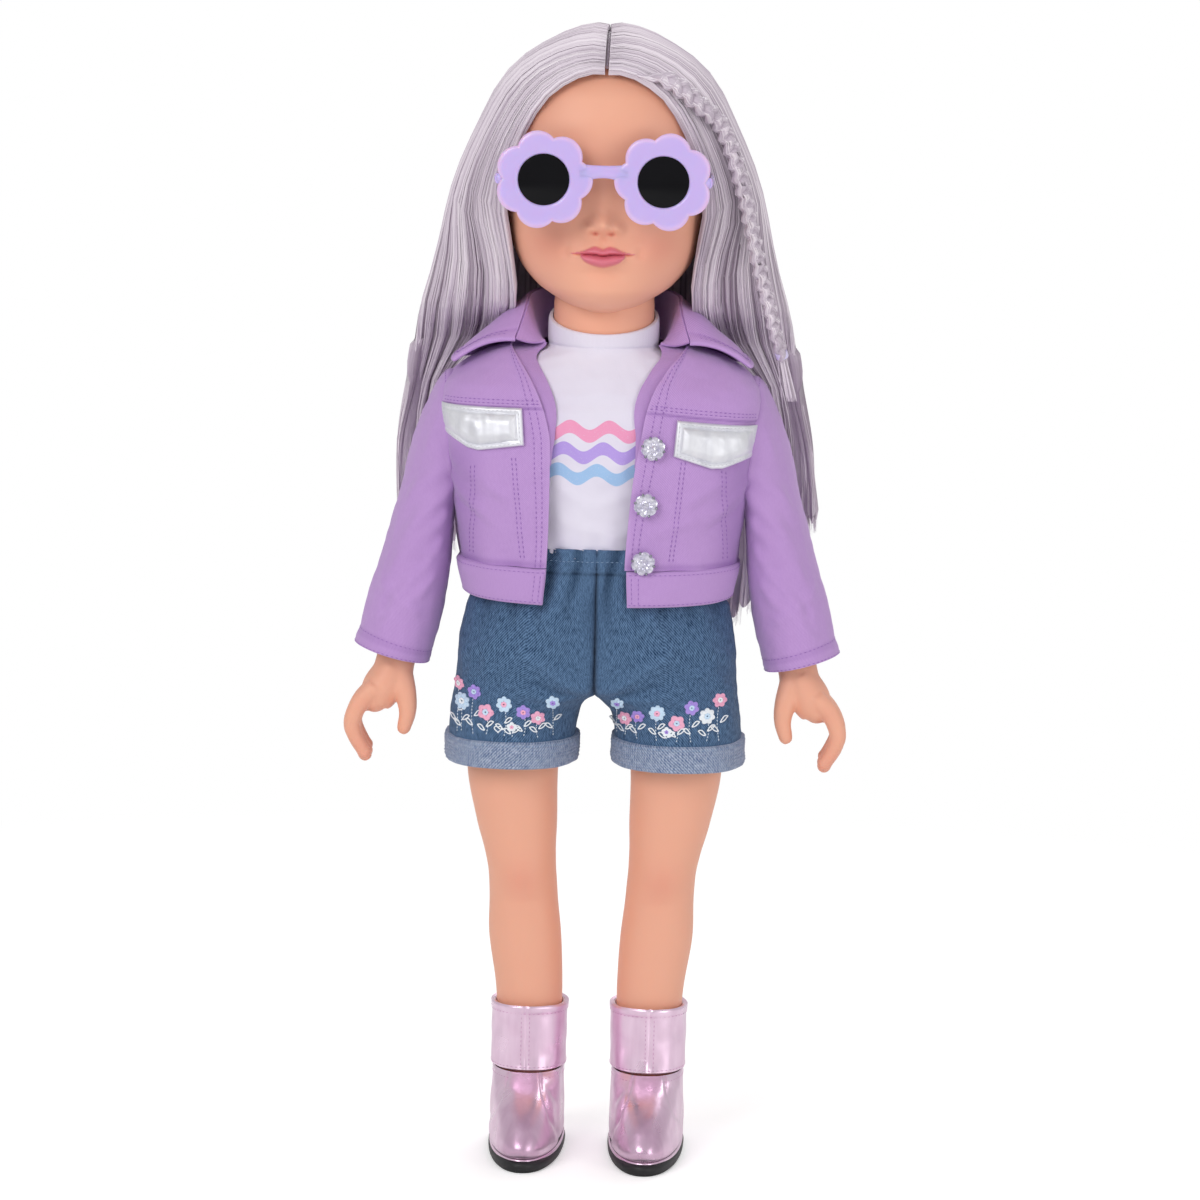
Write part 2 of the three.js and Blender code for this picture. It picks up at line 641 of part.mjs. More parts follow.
// The braid lies on the hair down the doll's left side, a rope with the lobes of its three strands
function makeBraid() {
  const route = new THREE.CatmullRomCurve3([
    [13, -48, 95.5], [25.5, -44.4, 91.5], [36, -39.3, 84.5], [45, -31, 75.5], [50.7, -26.9, 60.5],
    [54.5, -21.9, 46.5], [57.5, -17.9, 31.5], [60.2, -14.4, 17.5], [63.7, -10.4, 4.5], [66.8, -5.5, -7.5],
    [71, -1, -19.5],
  ].map(([x, y, rise]) => new THREE.Vector3(x, y, chinHeight + rise)));
  const steps = 30;
  const plaits = 15;
  const frames = route.computeFrenetFrames(steps, false);
  const along = (t) => route.getPoint(Math.round(t * steps) / steps);
  add('braid', hairFibre, loft(steps, 7, (t, angle) => {
    const i = Math.round(t * steps);
    const lobes = 0.86 + 0.14 * Math.cos(3 * angle + 3 * Math.sin(2 * Math.PI * plaits * t));
    const out = frames.normals[i].clone().multiplyScalar(Math.cos(angle));
    out.addScaledVector(frames.binormals[i], Math.sin(angle));
    return along(t).addScaledVector(out, braidRadius * (1 - 0.35 * t) * lobes);
  }, along));
}

// The tee, grown from the torso, with open armholes
function makeTee() {
  const levels = within(torsoLevels, teeHem, neckBase - 0.3);
  let tee = tube(torsoShape, levels, 24, seatGap + teeWall, seatGap, { power: torsoPower });
  const hole = shoulderBallRadius + 3;
  for (const side of [-1, 1]) {
    const span = between(side, torsoSideFlat - 13.5, torsoSideFlat + 20);
    tee = tee.subtract(rodX(hole, ...span, 16, shoulderHeight));
  }
  tee = tee.subtract(rodZ(neckRadius + runningGap, 300, 400, 24));
  add('tee', whiteJersey, tee);
  const [inside, outside] = [neckRadius + runningGap, neckRadius + runningGap + teeBandWall];
  const foot = neckBase + seatGap;
  const profile = [
    [inside, foot], [outside, foot], [outside, teeBandTop], [inside, teeBandTop], [inside, foot],
  ];
  const dip = new THREE.Shape();
  dip.moveTo(-60, teeBandTop - 2.2 * teeBandDip);
  dip.lineTo(5, teeBandTop + 0.5);
  dip.lineTo(-60, teeBandTop + 40);
  add('tee_neckband', whiteJersey, turnedAlongZ(profile, 28).subtract(plateYZ(dip, -60, 60)));
}

// The jacket body's half width, front and back by height
const jacketShape = smooth([
  [jacketHem - 6, 52, 37, 35.5],
  [jacketHem + 14, 55.3, 38.3, 36.5],
  [shoulderHeight - 34, 58, 39.5, 37.6],
  [shoulderHeight - 16, 60, 40, 38.4],
  [shoulderHeight, 62.5, 39.2, 38],
  [shoulderHeight + 0.343 * neckRise, 62.5, 36, 36],
  [shoulderHeight + 0.6 * neckRise, 56.5, 31.2, 31.4],
  [shoulderHeight + 0.8 * neckRise, 44.2, 27.2, 28],
  [neckBase, neckRadius + 11.7, neckRadius + 4.7, neckRadius + 5.1],
  [neckBase + 7, neckRadius + 7.2, neckRadius + 3.9, neckRadius + 4.5],
]);
const jacketPower = 2.6;
const jacketTop = neckBase + 5;
const jacketLevels = [
  ...[-3, 9, 23].map((rise) => jacketHem + rise),
  ...[-26, -10, 4].map((rise) => shoulderHeight + rise),
  ...[0.429, 0.657, 0.886].map((share) => shoulderHeight + share * neckRise),
  jacketTop,
];

function jacketBlank(grow, low, high) {
  const body = column(jacketShape, within(jacketLevels, low, high), 28, { grow, power: jacketPower });
  const reach = armholeFoot + 12.5;
  return union(body, rodX(armholeRadius + grow, -reach, reach, 24, shoulderHeight));
}

// The Y of the jacket's outer face at a point of its front
function jacketFront(x, z) {
  const [w, f] = jacketShape(z);
  const body = f * Math.max(0, 1 - (Math.abs(x) / w) ** jacketPower) ** (1 / jacketPower);
  const sleeveCap = Math.sqrt(Math.max(0, armholeRadius ** 2 - (z - shoulderHeight) ** 2));
  return -Math.max(body, sleeveCap);
}

// Everything between the two leaning armholes, widened by more
function betweenArmholes(more) {
  const at = (z) => armholeFoot + (z - shoulderHeight + armholeRadius) * armholeLean + more;
  return plateXZ(outline([[-at(200), 200], [at(200), 200], [at(345), 345], [-at(345), 345]]), -80, 80);
}

// The open front between the two panels
function frontOpening() {
  const shape = new THREE.Shape();
  const [low, chest, top] = [jacketHem - 31, shoulderHeight - 6, neckBase + 14];
  shape.moveTo(-20.5, low);
  shape.lineTo(-19, jacketHem + 12);
  shape.bezierCurveTo(-17, chest, -17, chest + 18, -42, top);
  shape.lineTo(42, top);
  shape.bezierCurveTo(23, chest + 26, 20, chest + 8, 15.5, chest - 15);
  shape.lineTo(12.8, jacketHem + 5);
  shape.lineTo(15, low);
  return plateXZ(shape, -80, 0);
}

// Everything above a hem that hangs lower in front
function aboveHem(height) {
  const shape = new THREE.Shape();
  shape.moveTo(-70, height - hemDroop);
  shape.quadraticCurveTo(-10, height - hemDroop * 0.6, 0, height);
  shape.lineTo(70, height);
  shape.lineTo(70, 500);
  shape.lineTo(-70, 500);
  return plateYZ(shape, -80, 80);
}

function makeJacket() {
  const seam = jacketHem + waistbandHeight;
  let body = jacketBlank(0, jacketHem - 3, jacketTop);
  body = body.subtract(jacketBlank(-jacketWall, jacketHem - 6, jacketTop + 2));
  body = body.intersect(betweenArmholes(0)).intersect(aboveHem(seam + seatGap)).subtract(frontOpening());
  const levels = within(jacketLevels, jacketHem - 3, seam + 5.5);
  let band = tube(jacketShape, levels, 28, 0.6, 0.6 - waistbandWall, { power: jacketPower });
  band = band.intersect(aboveHem(jacketHem)).subtract(aboveHem(seam)).subtract(frontOpening());
  const half = seatGap / 2;
  const regions = {
    back: block([-90, sideSeam + half, 0], [90, 90, 400]),
    left: block([0, -90, 0], [90, sideSeam - half, 400]),
    right: block([-90, -90, 0], [0, sideSeam - half, 400]),
  };
  for (const [name, region] of Object.entries(regions)) {
    add(name === 'back' ? 'jacket_back' : `jacket_${name}_front`, lilacTwill, body.intersect(region));
    add(`jacket_${name}_waistband`, lilacTwill, band.intersect(region));
  }
}

// The collar folds down from round the neck and lies on the shoulders, ending in two points.
// Both edges go by share of the way from a front end to the middle of the back: x reach, y reach and the
// height above the top of the torso.
const collarFold = smooth([
  [0, 33, 30, 4.5], [0.15, 31, 27.5, 11], [0.35, 31, 27, 17.5], [0.6, 32, 28.5, 20], [1, 31, 31, 21],
]);
const collarEdge = smooth([
  [0, 63, 50, -7], [0.2, 57, 33, -6.5], [0.5, 48, 32.2, -6.9], [0.75, 41.3, 34.3, -8.2],
  [1, 38.2, 35.8, -9.2],
]);

function makeCollar() {
  const [foldEnd, edgeEnd] = [1.05, 1.25]; // radians from straight ahead to the ends of both edges
  add('jacket_collar', lilacTwill, sheet(26, 3, (u, v, w) => {
    const side = u < 0.5 ? -1 : 1;
    const share = 1 - Math.abs(2 * u - 1);
    const foldAngle = foldEnd + (Math.PI - foldEnd) * share;
    const edgeAngle = edgeEnd + (Math.PI - edgeEnd) * share;
    const [fx, fy, fz] = collarFold(share);
    const [ex, ey, ez] = collarEdge(share);
    const from = new THREE.Vector3(side * fx * Math.sin(foldAngle), -fy * Math.cos(foldAngle), fz);
    const to = new THREE.Vector3(side * ex * Math.sin(edgeAngle), -ey * Math.cos(edgeAngle), ez);
    const point = from.lerp(to, v);
    point.z += neckBase + 2.4 * Math.sin(Math.PI * v) + collarWall * w;
    return point;
  }));
}

function makeSleeve(side) {
  // The outer and inner edges of the sleeve from the armhole to the hem: how far each stands out from the
  // armhole's foot and how far below the shoulder it is as a share of the drop, then the half depth
  const top = armholeRadius / sleeveDrop;
  const stations = smooth([
    [0, 2 * armholeRadius * armholeLean + 1.6 * seatGap, -top, 1.6 * seatGap, top, armholeRadius],
    [0.2, 15, -0.196, 2.7, 0.34, 23.8],
    [0.4, 23.2, 0.072, 3.5, 0.454, 21],
    [0.6, 29.3, 0.34, 4.3, 0.577, 19],
    [0.8, 35.3, 0.619, 6.5, 0.763, 18],
    [1, 41.3, 0.918, 11.5, 1, 17.8],
  ]);
  const edges = (t) => {
    const [ox, oz, ix, iz, depth] = stations(t);
    const height = (share) => shoulderHeight - share * sleeveDrop;
    return [armholeFoot + ox, height(oz), armholeFoot + ix, height(iz), depth];
  };
  const ring = (t, shrink, angle) => {
    const [ox, oz, ix, iz, depth] = edges(t);
    const across = new THREE.Vector3(side * (ox - ix) / 2, 0, (oz - iz) / 2);
    const reach = Math.cos(angle) * (1 - shrink / across.length());
    return new THREE.Vector3(side * (ox + ix) / 2, 0, (oz + iz) / 2)
      .addScaledVector(across, reach).add(new THREE.Vector3(0, (depth - shrink) * Math.sin(angle), 0));
  };
  const steps = 7;
  const part = (shrink, over) => {
    // The ends run past the opening by over, so that the inside cuts right through
    const past = (t, point) => {
      if (t < 0.01) point.x -= side * over;
      if (t > 0.99) point.add(new THREE.Vector3(side * 0.25 * over, 0, -over));
      return point;
    };
    const centre = (t) => past(t, ring(t, 0, Math.PI / 2).setY(0));
    return loft(steps, 16, (t, angle) => past(t, ring(t, shrink, angle)), centre);
  };
  add(`${side > 0 ? 'left' : 'right'}_sleeve`, lilacTwill, part(0, 0).subtract(part(sleeveWall, 2)));
}

function makeArm(side) {
  const out = (x) => side * x;
  const face = torsoSideFlat + runningGap;
  const ball = solid(new THREE.SphereGeometry(shoulderBallRadius, 14, 10).scale(1.1, 1, 1)
    .translate(out(face + 8), 0, shoulderHeight));
  const core = limb([
    [out(face + 8), 0, shoulderHeight, 12.5], [out(face + 16), 0, shoulderHeight - 12, 10.5],
    [out(face + 22.2), 0, shoulderHeight - 25, 8.8], [out(face + 25), -0.5, shoulderHeight - 46, 9.4],
    [out(face + 28), -1.5, shoulderHeight - 70, 9.2], [out(wristOut), -2.5, wristHeight, wristRadius],
    [out(wristOut + 3), -3, wristHeight - 9, 7.4],
  ], 9, 10);
  const knuckle = wristHeight - 13;
  const palm = solid(new THREE.SphereGeometry(1, 10, 7).scale(10.8, 11, 11)
    .translate(out(wristOut + 5.4), -2.5, knuckle + 1));
  const fingers = [];
  for (let i = 0; i < fingerCount; i += 1) {
    const y = -2.5 + (i - (fingerCount - 1) / 2) * fingerPitch;
    const short = Math.abs(i - 1.3) * 1.6;
    fingers.push(limb([
      [out(wristOut + 7.5), y * 0.92, knuckle + 1.5, fingerRadius + 0.5],
      [out(wristOut + 13.8), y, knuckle - 5, fingerRadius + 0.2],
      [out(wristOut + 15.6), y, knuckle - 13, fingerRadius],
      [out(wristOut + 14), y, knuckle - 20.5 + short, fingerRadius - 0.3],
      [out(wristOut + 9.8), y * 0.96, knuckle - 27.5 + short, fingerRadius - 0.8],
    ], 4, 6));
  }
  const thumb = limb([
    [out(wristOut - 1), -5, wristHeight - 8, 5],
    [out(wristOut - 3.6), -8, wristHeight - 16, thumbRadius + 0.5],
    [out(wristOut - 2.6), -9, wristHeight - 24, thumbRadius],
    [out(wristOut - 1), -9, wristHeight - 30, thumbRadius - 0.7],
  ], 3, 6);
  let arm = union(ball, core, palm, ...fingers, thumb);
  const [a, b] = between(side, face, wristOut + 60);
  arm = arm.intersect(block([a, -60, 0], [b, 60, 500]));
  arm = arm.subtract(cupPocket(side, torsoSideFlat, shoulderHeight));
  add(`${side > 0 ? 'left' : 'right'}_arm`, skin, arm);
}

// The leg's half width, front and back by height, down to the ankle
const legHeight = (share) => bootHeight + share * (hipHeight - bootHeight);
const legShape = smooth([
  [14, 11, 11, 14],
  [bootHeight / 2, 12, 12.5, 14],
  [bootHeight * 0.8, 12.2, 12.4, 13.4],
  [legHeight(0.041), 12.8, 13.2, 14.4],
  [legHeight(0.192), 14.3, 13.8, 16.2],
  [legHeight(0.349), 13.7, 14.6, 14.2],
  [legHeight(0.507), 16.4, 16.6, 16],
  [legHeight(0.664), hipBallRadius - 0.9, hipBallRadius - 1.1, hipBallRadius - 1.3],
  [legHeight(0.822), hipBallRadius, hipBallRadius - 0.1, hipBallRadius - 0.1],
  [hipHeight, hipBallRadius, hipBallRadius, hipBallRadius],
]);
const legLean = smooth([
  [14, ankleSpread], [bootHeight, ankleSpread + 0.2], [legHeight(0.205), hipSpread - 1.8],
  [legHeight(0.349), hipSpread - 0.6], [legHeight(0.507), hipSpread + 2.2],
  [legHeight(0.664), hipSpread + 4.4], [legHeight(0.822), hipSpread + 2.5], [hipHeight, hipSpread],
]);

// The foot and the boot share one form by height above the sole: half width, toe, heel
const footShape = smooth([
  [0, bootHalfWidth - 0.8, toeReach - 3.6, heelReach - 1.4],
  [4, bootHalfWidth + 0.2, toeReach, heelReach],
  [10, bootHalfWidth + 0.2, toeReach - 4, heelReach],
  [16, bootHalfWidth, toeReach - 10.5, heelReach - 0.6],
  [22, bootHalfWidth - 0.2, toeReach - 22, heelReach - 1.2],
  [28, bootHalfWidth - 0.2, heelReach - 0.5, heelReach - 1.6],
]);
const shaftShape = smooth([
  [bootSeamHeight - 2, bootHalfWidth, heelReach - 2.6, heelReach - 1.8],
  [(bootSeamHeight + bootHeight) / 2, bootHalfWidth + 0.2, heelReach - 3.8, heelReach - 2.4],
  [bootHeight, bootHalfWidth + 0.1, heelReach - 4, heelReach - 2.4],
]);

function makeLeg(side) {
  const footGap = bootWall + seatGap + 0.7;
  const bareFoot = (z) => {
    const [halfWidth, toe, heel] = footShape(z - soleThickness);
    return [halfWidth, toe - toeRoom, heel];
  };
  const shank = column(legShape, even(14, hipHeight, 9), 14, { centreX: (z) => side * legLean(z)[0] });
  const ball = solid(new THREE.SphereGeometry(hipBallRadius, 14, 10)
    .translate(side * hipSpread, 0, hipHeight));
  const foot = column(bareFoot, even(soleThickness + footGap, 31, 3), 16,
    { grow: -footGap, power: 2.2, centreX: () => side * ankleSpread });
  const [a, b] = between(side, crotchHalfWidth + runningGap, 80);
  const leg = union(shank, ball, foot).intersect(block([a, -90, 0], [b, 60, 400]))
    .subtract(cupPocket(side, crotchHalfWidth, hipHeight));
  add(`${side > 0 ? 'left' : 'right'}_leg`, skin, leg);
}

function makeBoot(side) {
  const name = side > 0 ? 'left' : 'right';
  const options = { power: 2.2, centreX: () => side * ankleSpread };
  const [foot, seam] = [soleThickness + seatGap, bootSeamHeight + seatGap];
  const vamp = (z) => footShape(z - soleThickness);
  const shell = (shape, levels) => tube(shape, levels, 18, 0, -bootWall, options);
  add(`${name}_boot_vamp`, pinkFoil, shell(vamp, even(foot, bootSeamHeight, 4)));
  add(`${name}_boot_shaft`, pinkFoil, shell(shaftShape, even(seam, bootHeight, 1)));
  const sole = () => [bootHalfWidth - 0.2, toeReach - 0.4, heelReach - 0.4];
  const slab = column(sole, [0, soleThickness], 26, { ...options, grow: soleWelt });
  add(`${name}_boot_sole`, blackRubber, slab);
  const middle = (bootHeight + seam) / 2;
  add(`${name}_boot_tab`, pinkFoil, sheet(6, 1, (u, v, w) => {
    const z = middle + (v - 0.5) * tabHeight;
    const x = (u - 0.5) * 2 * tabHalfWidth;
    const [halfWidth, , back] = shaftShape(z);
    const y = back * (1 - (Math.abs(x) / halfWidth) ** 2.2) ** (1 / 2.2);
    return new THREE.Vector3(side * ankleSpread + x, y + runningGap + 1.2 * w, z);
  }));
}

const seatShape = smooth([
  [shortsSplit, 57, 33.5, 34.5],
  [hipHeight + 6, 56, 33.8, 34.4],
  [hipHeight + 19, 53.2, 33.3, 33.8],
  [hipHeight + 24, 50, 32.8, 32.8],
  [shortsTop, 48.2, 32.6, 31.8],
]);

function makeShortsSeat() {
  const levels = within([6, 19, 24].map((rise) => hipHeight + rise), shortsSplit + seatGap,
    shortsTop - waistElasticHeight - seatGap);
  add('shorts_seat', denim, tube(seatShape, levels, 24, 0, -shortsWall, { power: 2.3 }));
  const inside = seatGap + teeWall + seatGap;
  const waist = [shortsTop - waistElasticHeight, shortsTop];
  const band = tube(torsoShape, waist, 24, inside + shortsWall, inside, { power: torsoPower });
  add('shorts_waistband', denim, band);
}

function makeShortsLeg(side) {
  const name = side > 0 ? 'left' : 'right';
  // The outer edge, inner edge and half depth of one leg of the shorts by height
  const edges = smooth([
    [cuffTop - cuffHeight, 61, 7.4, 27.5],
    [cuffTop, 61, 7, 27.8],
    [0.45 * cuffTop + 0.55 * shortsSplit, 58.8, 3, 30],
    [shortsSplit, 57, 0.4, 33.3],
  ]);
  const ring = (z) => {
    const [outer, inner, depth] = edges(z);
    return [(outer - inner) / 2, depth, depth];
  };
  const options = { power: 2.2, centreX: (z) => (side * (edges(z)[0] + edges(z)[1])) / 2 };
  const leg = tube(ring, even(cuffTop + seatGap, shortsSplit, 2), 18, 0, -shortsWall, options);
  add(`${name}_shorts_leg`, denim, leg);
  const cuff = tube(ring, even(cuffTop - cuffHeight, cuffTop, 1), 18, 0.8, 0.8 - cuffWall, options);
  add(`${name}_shorts_cuff`, denimReverse, cuff);
}

function makeFlaps() {
  for (const side of [-1, 1]) {
    const [inner, top] = side > 0 ? [31.5, flapTop - 5] : [27, flapTop];
    add(`${side > 0 ? 'left' : 'right'}_pocket_flap`, silverFoil, sheet(8, 2, (u, v, w) => {
      const reach = flapSide + (flapPoint - flapSide) * (1 - Math.abs(2 * u - 1));
      const x = side * (inner + u * flapWidth);
      const z = top - reach * v;
      return new THREE.Vector3(x, jacketFront(x, z) - 0.7 - flapWall * w, z);
    }));
  }
}

function makeButtons() {
  const names = ['top', 'middle', 'bottom'];
  buttonHeights.forEach((z, i) => {
    const x = buttonOut[i];
    const bevel = 0.8;
    const face = new THREE.ExtrudeGeometry(outline(flowerPoints(0, 0, buttonRadius, 6, 0.3, 3)), {
      depth: buttonThickness - 2 * bevel, bevelEnabled: true, bevelSize: bevel, bevelThickness: bevel,
      bevelOffset: -bevel, bevelSegments: 1,
    });
    face.rotateX(Math.PI / 2).translate(x, jacketFront(x, z) - buttonLift, z);
    add(`jacket_button_${names[i]}`, clearJewel, solid(face));
  });
}

makeTorso();
makeNeckPlug();
makeStringing('shoulder', torsoSideFlat, shoulderHeight);
makeStringing('hip', crotchHalfWidth, hipHeight);
makeHead();
makeEyes();
makeSunglasses();
makeHairCrown();
const fallTop = hairFoot - seatGap;
makeHairFall('hair_back', 6, [
  [fallTop - hairLength, -28, 28, 43, 43, 7], [fallTop - 0.672 * hairLength, -36, 36, 43, 43, 9],
  [fallTop - 0.3 * hairLength, -38, 38, 43, 43, 11], [fallTop, -40, 40, 44, 44, 13],
]);
for (const side of [-1, 1]) {
  makeHairFall(`${side > 0 ? 'left' : 'right'}_hair_fall`, 4, [
    [fallTop - fallLength, side * 44, side * 87, 41, 29, 6],
    [fallTop - 0.596 * fallLength, side * 41, side * 85, 41, 29, 8],
    [fallTop - 0.264 * fallLength, side * 40.5, side * 79, 41, 27, 11],
    [fallTop, side * 42, side * 73, 36, 8, 16],
  ]);
}
makeBraid();
makeTee();
makeJacket();
makeCollar();
makeFlaps();
makeButtons();
makeShortsSeat();
for (const side of [-1, 1]) {
  makeSleeve(side);
  makeArm(side);
  makeLeg(side);
  makeShortsLeg(side);
  makeBoot(side);
}

export default doll;
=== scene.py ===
import bpy
import numpy as np
from numpy import array, clip, concatenate, cos, exp, linspace, maximum, minimum, pi, sin, sqrt, stack, where
from mathutils import Matrix, Vector
from mathutils.kdtree import KDTree


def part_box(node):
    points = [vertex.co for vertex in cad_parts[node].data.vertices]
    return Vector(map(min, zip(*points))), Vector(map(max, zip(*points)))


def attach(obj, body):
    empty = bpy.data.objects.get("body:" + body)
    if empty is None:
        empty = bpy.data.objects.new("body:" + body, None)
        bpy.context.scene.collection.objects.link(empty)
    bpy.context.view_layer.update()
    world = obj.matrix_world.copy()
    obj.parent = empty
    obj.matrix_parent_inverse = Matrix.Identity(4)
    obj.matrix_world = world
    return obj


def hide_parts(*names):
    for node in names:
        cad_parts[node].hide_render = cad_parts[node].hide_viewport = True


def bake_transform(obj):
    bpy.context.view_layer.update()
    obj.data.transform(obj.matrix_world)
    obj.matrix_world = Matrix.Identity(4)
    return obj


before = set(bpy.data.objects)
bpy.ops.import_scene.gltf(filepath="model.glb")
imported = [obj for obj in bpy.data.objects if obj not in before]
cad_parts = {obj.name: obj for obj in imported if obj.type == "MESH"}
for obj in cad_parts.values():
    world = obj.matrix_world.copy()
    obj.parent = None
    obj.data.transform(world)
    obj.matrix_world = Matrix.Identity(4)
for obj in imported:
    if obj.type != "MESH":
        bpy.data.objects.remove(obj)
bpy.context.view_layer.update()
mm = 0.001
hipHeight, shoulderHeight, neckBase, chinHeight = 206, 296, 331, 345.5
bothSides = ((1, "left"), (-1, "right"))
print("stage: frame loaded")


# Values that pass smoothly through rows of [position, value, ...]: cubic pieces whose slope at each row is
# the harmonic mean of the slopes on its two sides, so that nothing overshoots.
def through(rows):
    rows = array(rows, float)
    x, y = rows[:, 0], rows[:, 1:]
    rise = np.diff(y, axis=0) / np.diff(x)[:, None]
    slope = np.zeros_like(y)
    alike = rise[:-1] * rise[1:] > 0
    slope[1:-1] = where(alike, 2 * rise[:-1] * rise[1:] / where(alike, rise[:-1] + rise[1:], 1), 0)

    def at(v):
        v = clip(v, x[0], x[-1])
        i = clip(np.searchsorted(x, v, side="right") - 1, 0, len(x) - 2)
        span = (x[i + 1] - x[i])[..., None]
        t = (v - x[i])[..., None] / span
        ends = y[i] * (1 + 2 * t) * (1 - t) ** 2 + y[i + 1] * t * t * (3 - 2 * t)
        return ends + span * t * (1 - t) * (slope[i] * (1 - t) - slope[i + 1] * t)

    return at


def step(low, high, v):  # 0 below low, 1 above high, smooth between
    t = clip((v - low) / (high - low), 0, 1)
    return t * t * (3 - 2 * t)


def bell(v, middle, width):  # 1 at the middle, falling off on both sides: exp(-((v - middle) / width)^2)
    return exp(-(((v - middle) / width) ** 2))


def pillow(share, power):  # 0 at shares 0 and 1, nearly 1 between them
    return sqrt(clip(1 - (2 * share - 1) ** power, 0, 1))


def roundEdge(v):  # a quarter of a circle, from 0 at the edge to 1
    return sqrt(clip(1 - (1 - clip(v, 0, 1)) ** 2, 0, 1))


def turns(count):  # angles once round, the last one a step before the first
    return linspace(0, 2 * pi, count + 1)[:-1]


def spread(*parts):  # values along different axes as one array of points
    return stack(np.broadcast_arrays(*parts), -1)


def closed(row):  # a row of points with its first one again at its end
    return np.vstack([row, row[:1]])


# An oval ring: x = half width * cos^(2/power), y = reach * sin^(2/power), with its own reach front and back.
def oval(angle, halfWidth, front, back, power):
    c, s = cos(angle), sin(angle)
    x = halfWidth * np.sign(c) * abs(c) ** (2 / power)
    y = where(s < 0, front, back) * np.sign(s) * abs(s) ** (2 / power)
    return x, y


def halves(plans):  # a shape's values by row, each as a column of a grid
    return np.moveaxis(plans, -1, 0)[..., None]


def ovalGrid(plans, z, columns, power,
             centre=0.0):  # a column of ovals about x = centre, each row front first
    w, f, b = halves(plans)
    x, y = oval((-pi / 2 + turns(columns))[None, :], w, f, b, power)
    return spread(x + centre, y, z[:, None])


# How near points lie to the line from a to b: exp(-(distance / width)^2).
def nearLine(points, a, b, width):
    a, b = array(a, float), array(b, float)
    t = clip((points - a) @ (b - a) / ((b - a) @ (b - a)), 0, 1)
    away = np.linalg.norm(points - a - t[..., None] * (b - a), axis=-1)
    return bell(away, 0, width)


def creases(points, lines):  # the sum of soft folds, each [from, to, width, how far it stands out]
    return sum(out * nearLine(points, a, b, width) for a, b, width, out in lines)


# Smooth noise between about -1 and 1: the mean of sine waves in random directions.
def ripple(points, size, seed, waves=7):
    random = np.random.default_rng(seed)
    ways = random.normal(size=(waves, 3))
    ways *= (random.uniform(0.6, 1.6, waves) * 2 * pi / size / np.linalg.norm(ways, axis=1))[:, None]
    return 1.6 * sin(points @ ways.T + random.uniform(0, 2 * pi, waves)).mean(-1)


def between(a, b, c, d, t):  # the Catmull-Rom curve from b to c, at shares t
    return (0.5 * (2 * b + (c - a) * t + (2 * a - 5 * b + 4 * c - d) * t ** 2 + (3 * b - a - 3 * c + d)
                   * t ** 3))


def curveThrough(points, count):  # a Catmull-Rom curve through points, count samples
    p = array(points, float)
    p = np.vstack([2 * p[0] - p[1], p, 2 * p[-1] - p[-2]])
    at = linspace(0, len(p) - 3 - 1e-9, count)
    i = at.astype(int)
    t = (at - i)[:, None]
    return between(p[i], p[i + 1], p[i + 2], p[i + 3], t)


def runOf(path):  # how far along a path each of its points lies
    return concatenate([[0], np.cumsum(np.linalg.norm(np.diff(path, axis=0), axis=1))])


def unit(v):
    return v / maximum(np.linalg.norm(v, axis=-1, keepdims=True), 1e-9)


def outward(grid, wrap=False):  # unit normals of a grid: its direction across, crossed with that along
    if wrap:
        across = np.roll(grid, -1, 1) - np.roll(grid, 1, 1)
    else:
        across = np.gradient(grid, axis=1)
    return unit(np.cross(across, np.gradient(grid, axis=0)))


def gridFaces(rows, columns, wrap):  # quads of a grid; wrap joins the last column to the first
    r = np.arange(rows - 1)[:, None] * columns
    c = np.arange(columns if wrap else columns - 1)[None, :]
    d = (c + 1) % columns
    return stack([r + c, r + d, r + d + columns, r + c + columns], -1).reshape(-1, 4)


def gridUv(rows, columns, wrap, width, height):  # corner UVs in millimetres over a grid
    u = linspace(0, width, columns + 1 if wrap else columns)
    v = linspace(0, height, rows)
    c = spread(u[None, :], v[:, None])
    return stack([c[:-1, :-1], c[:-1, 1:], c[1:, 1:], c[1:, :-1]], 2).reshape(-1, 4, 2)


# A form is its points, its faces (a triangle has -1 as fourth corner), corner UVs and three marks per point.
def form(points, faces, uv=None, marks=None):
    points = np.asarray(points, float).reshape(-1, 3)
    uv = np.zeros((len(faces), 4, 2)) if uv is None else uv
    marks = np.zeros((len(points), 3)) if marks is None else np.asarray(marks, float).reshape(-1, 3)
    return [points, np.asarray(faces), uv, marks]


def merged(forms):
    sizes = np.cumsum([0] + [len(f[0]) for f in forms])
    faces = [where(f[1] < 0, -1, f[1] + n) for f, n in zip(forms, sizes)]
    return [concatenate(x) for x in ([f[0] for f in forms], faces, [f[2] for f in forms],
                                     [f[3] for f in forms])]


def marksOf(grid, *masks):  # up to three masks of a grid as one array
    rows = [np.broadcast_to(m, grid.shape[:2]) for m in masks]
    rows += [np.zeros(grid.shape[:2])] * (3 - len(rows))
    return stack(rows, -1)


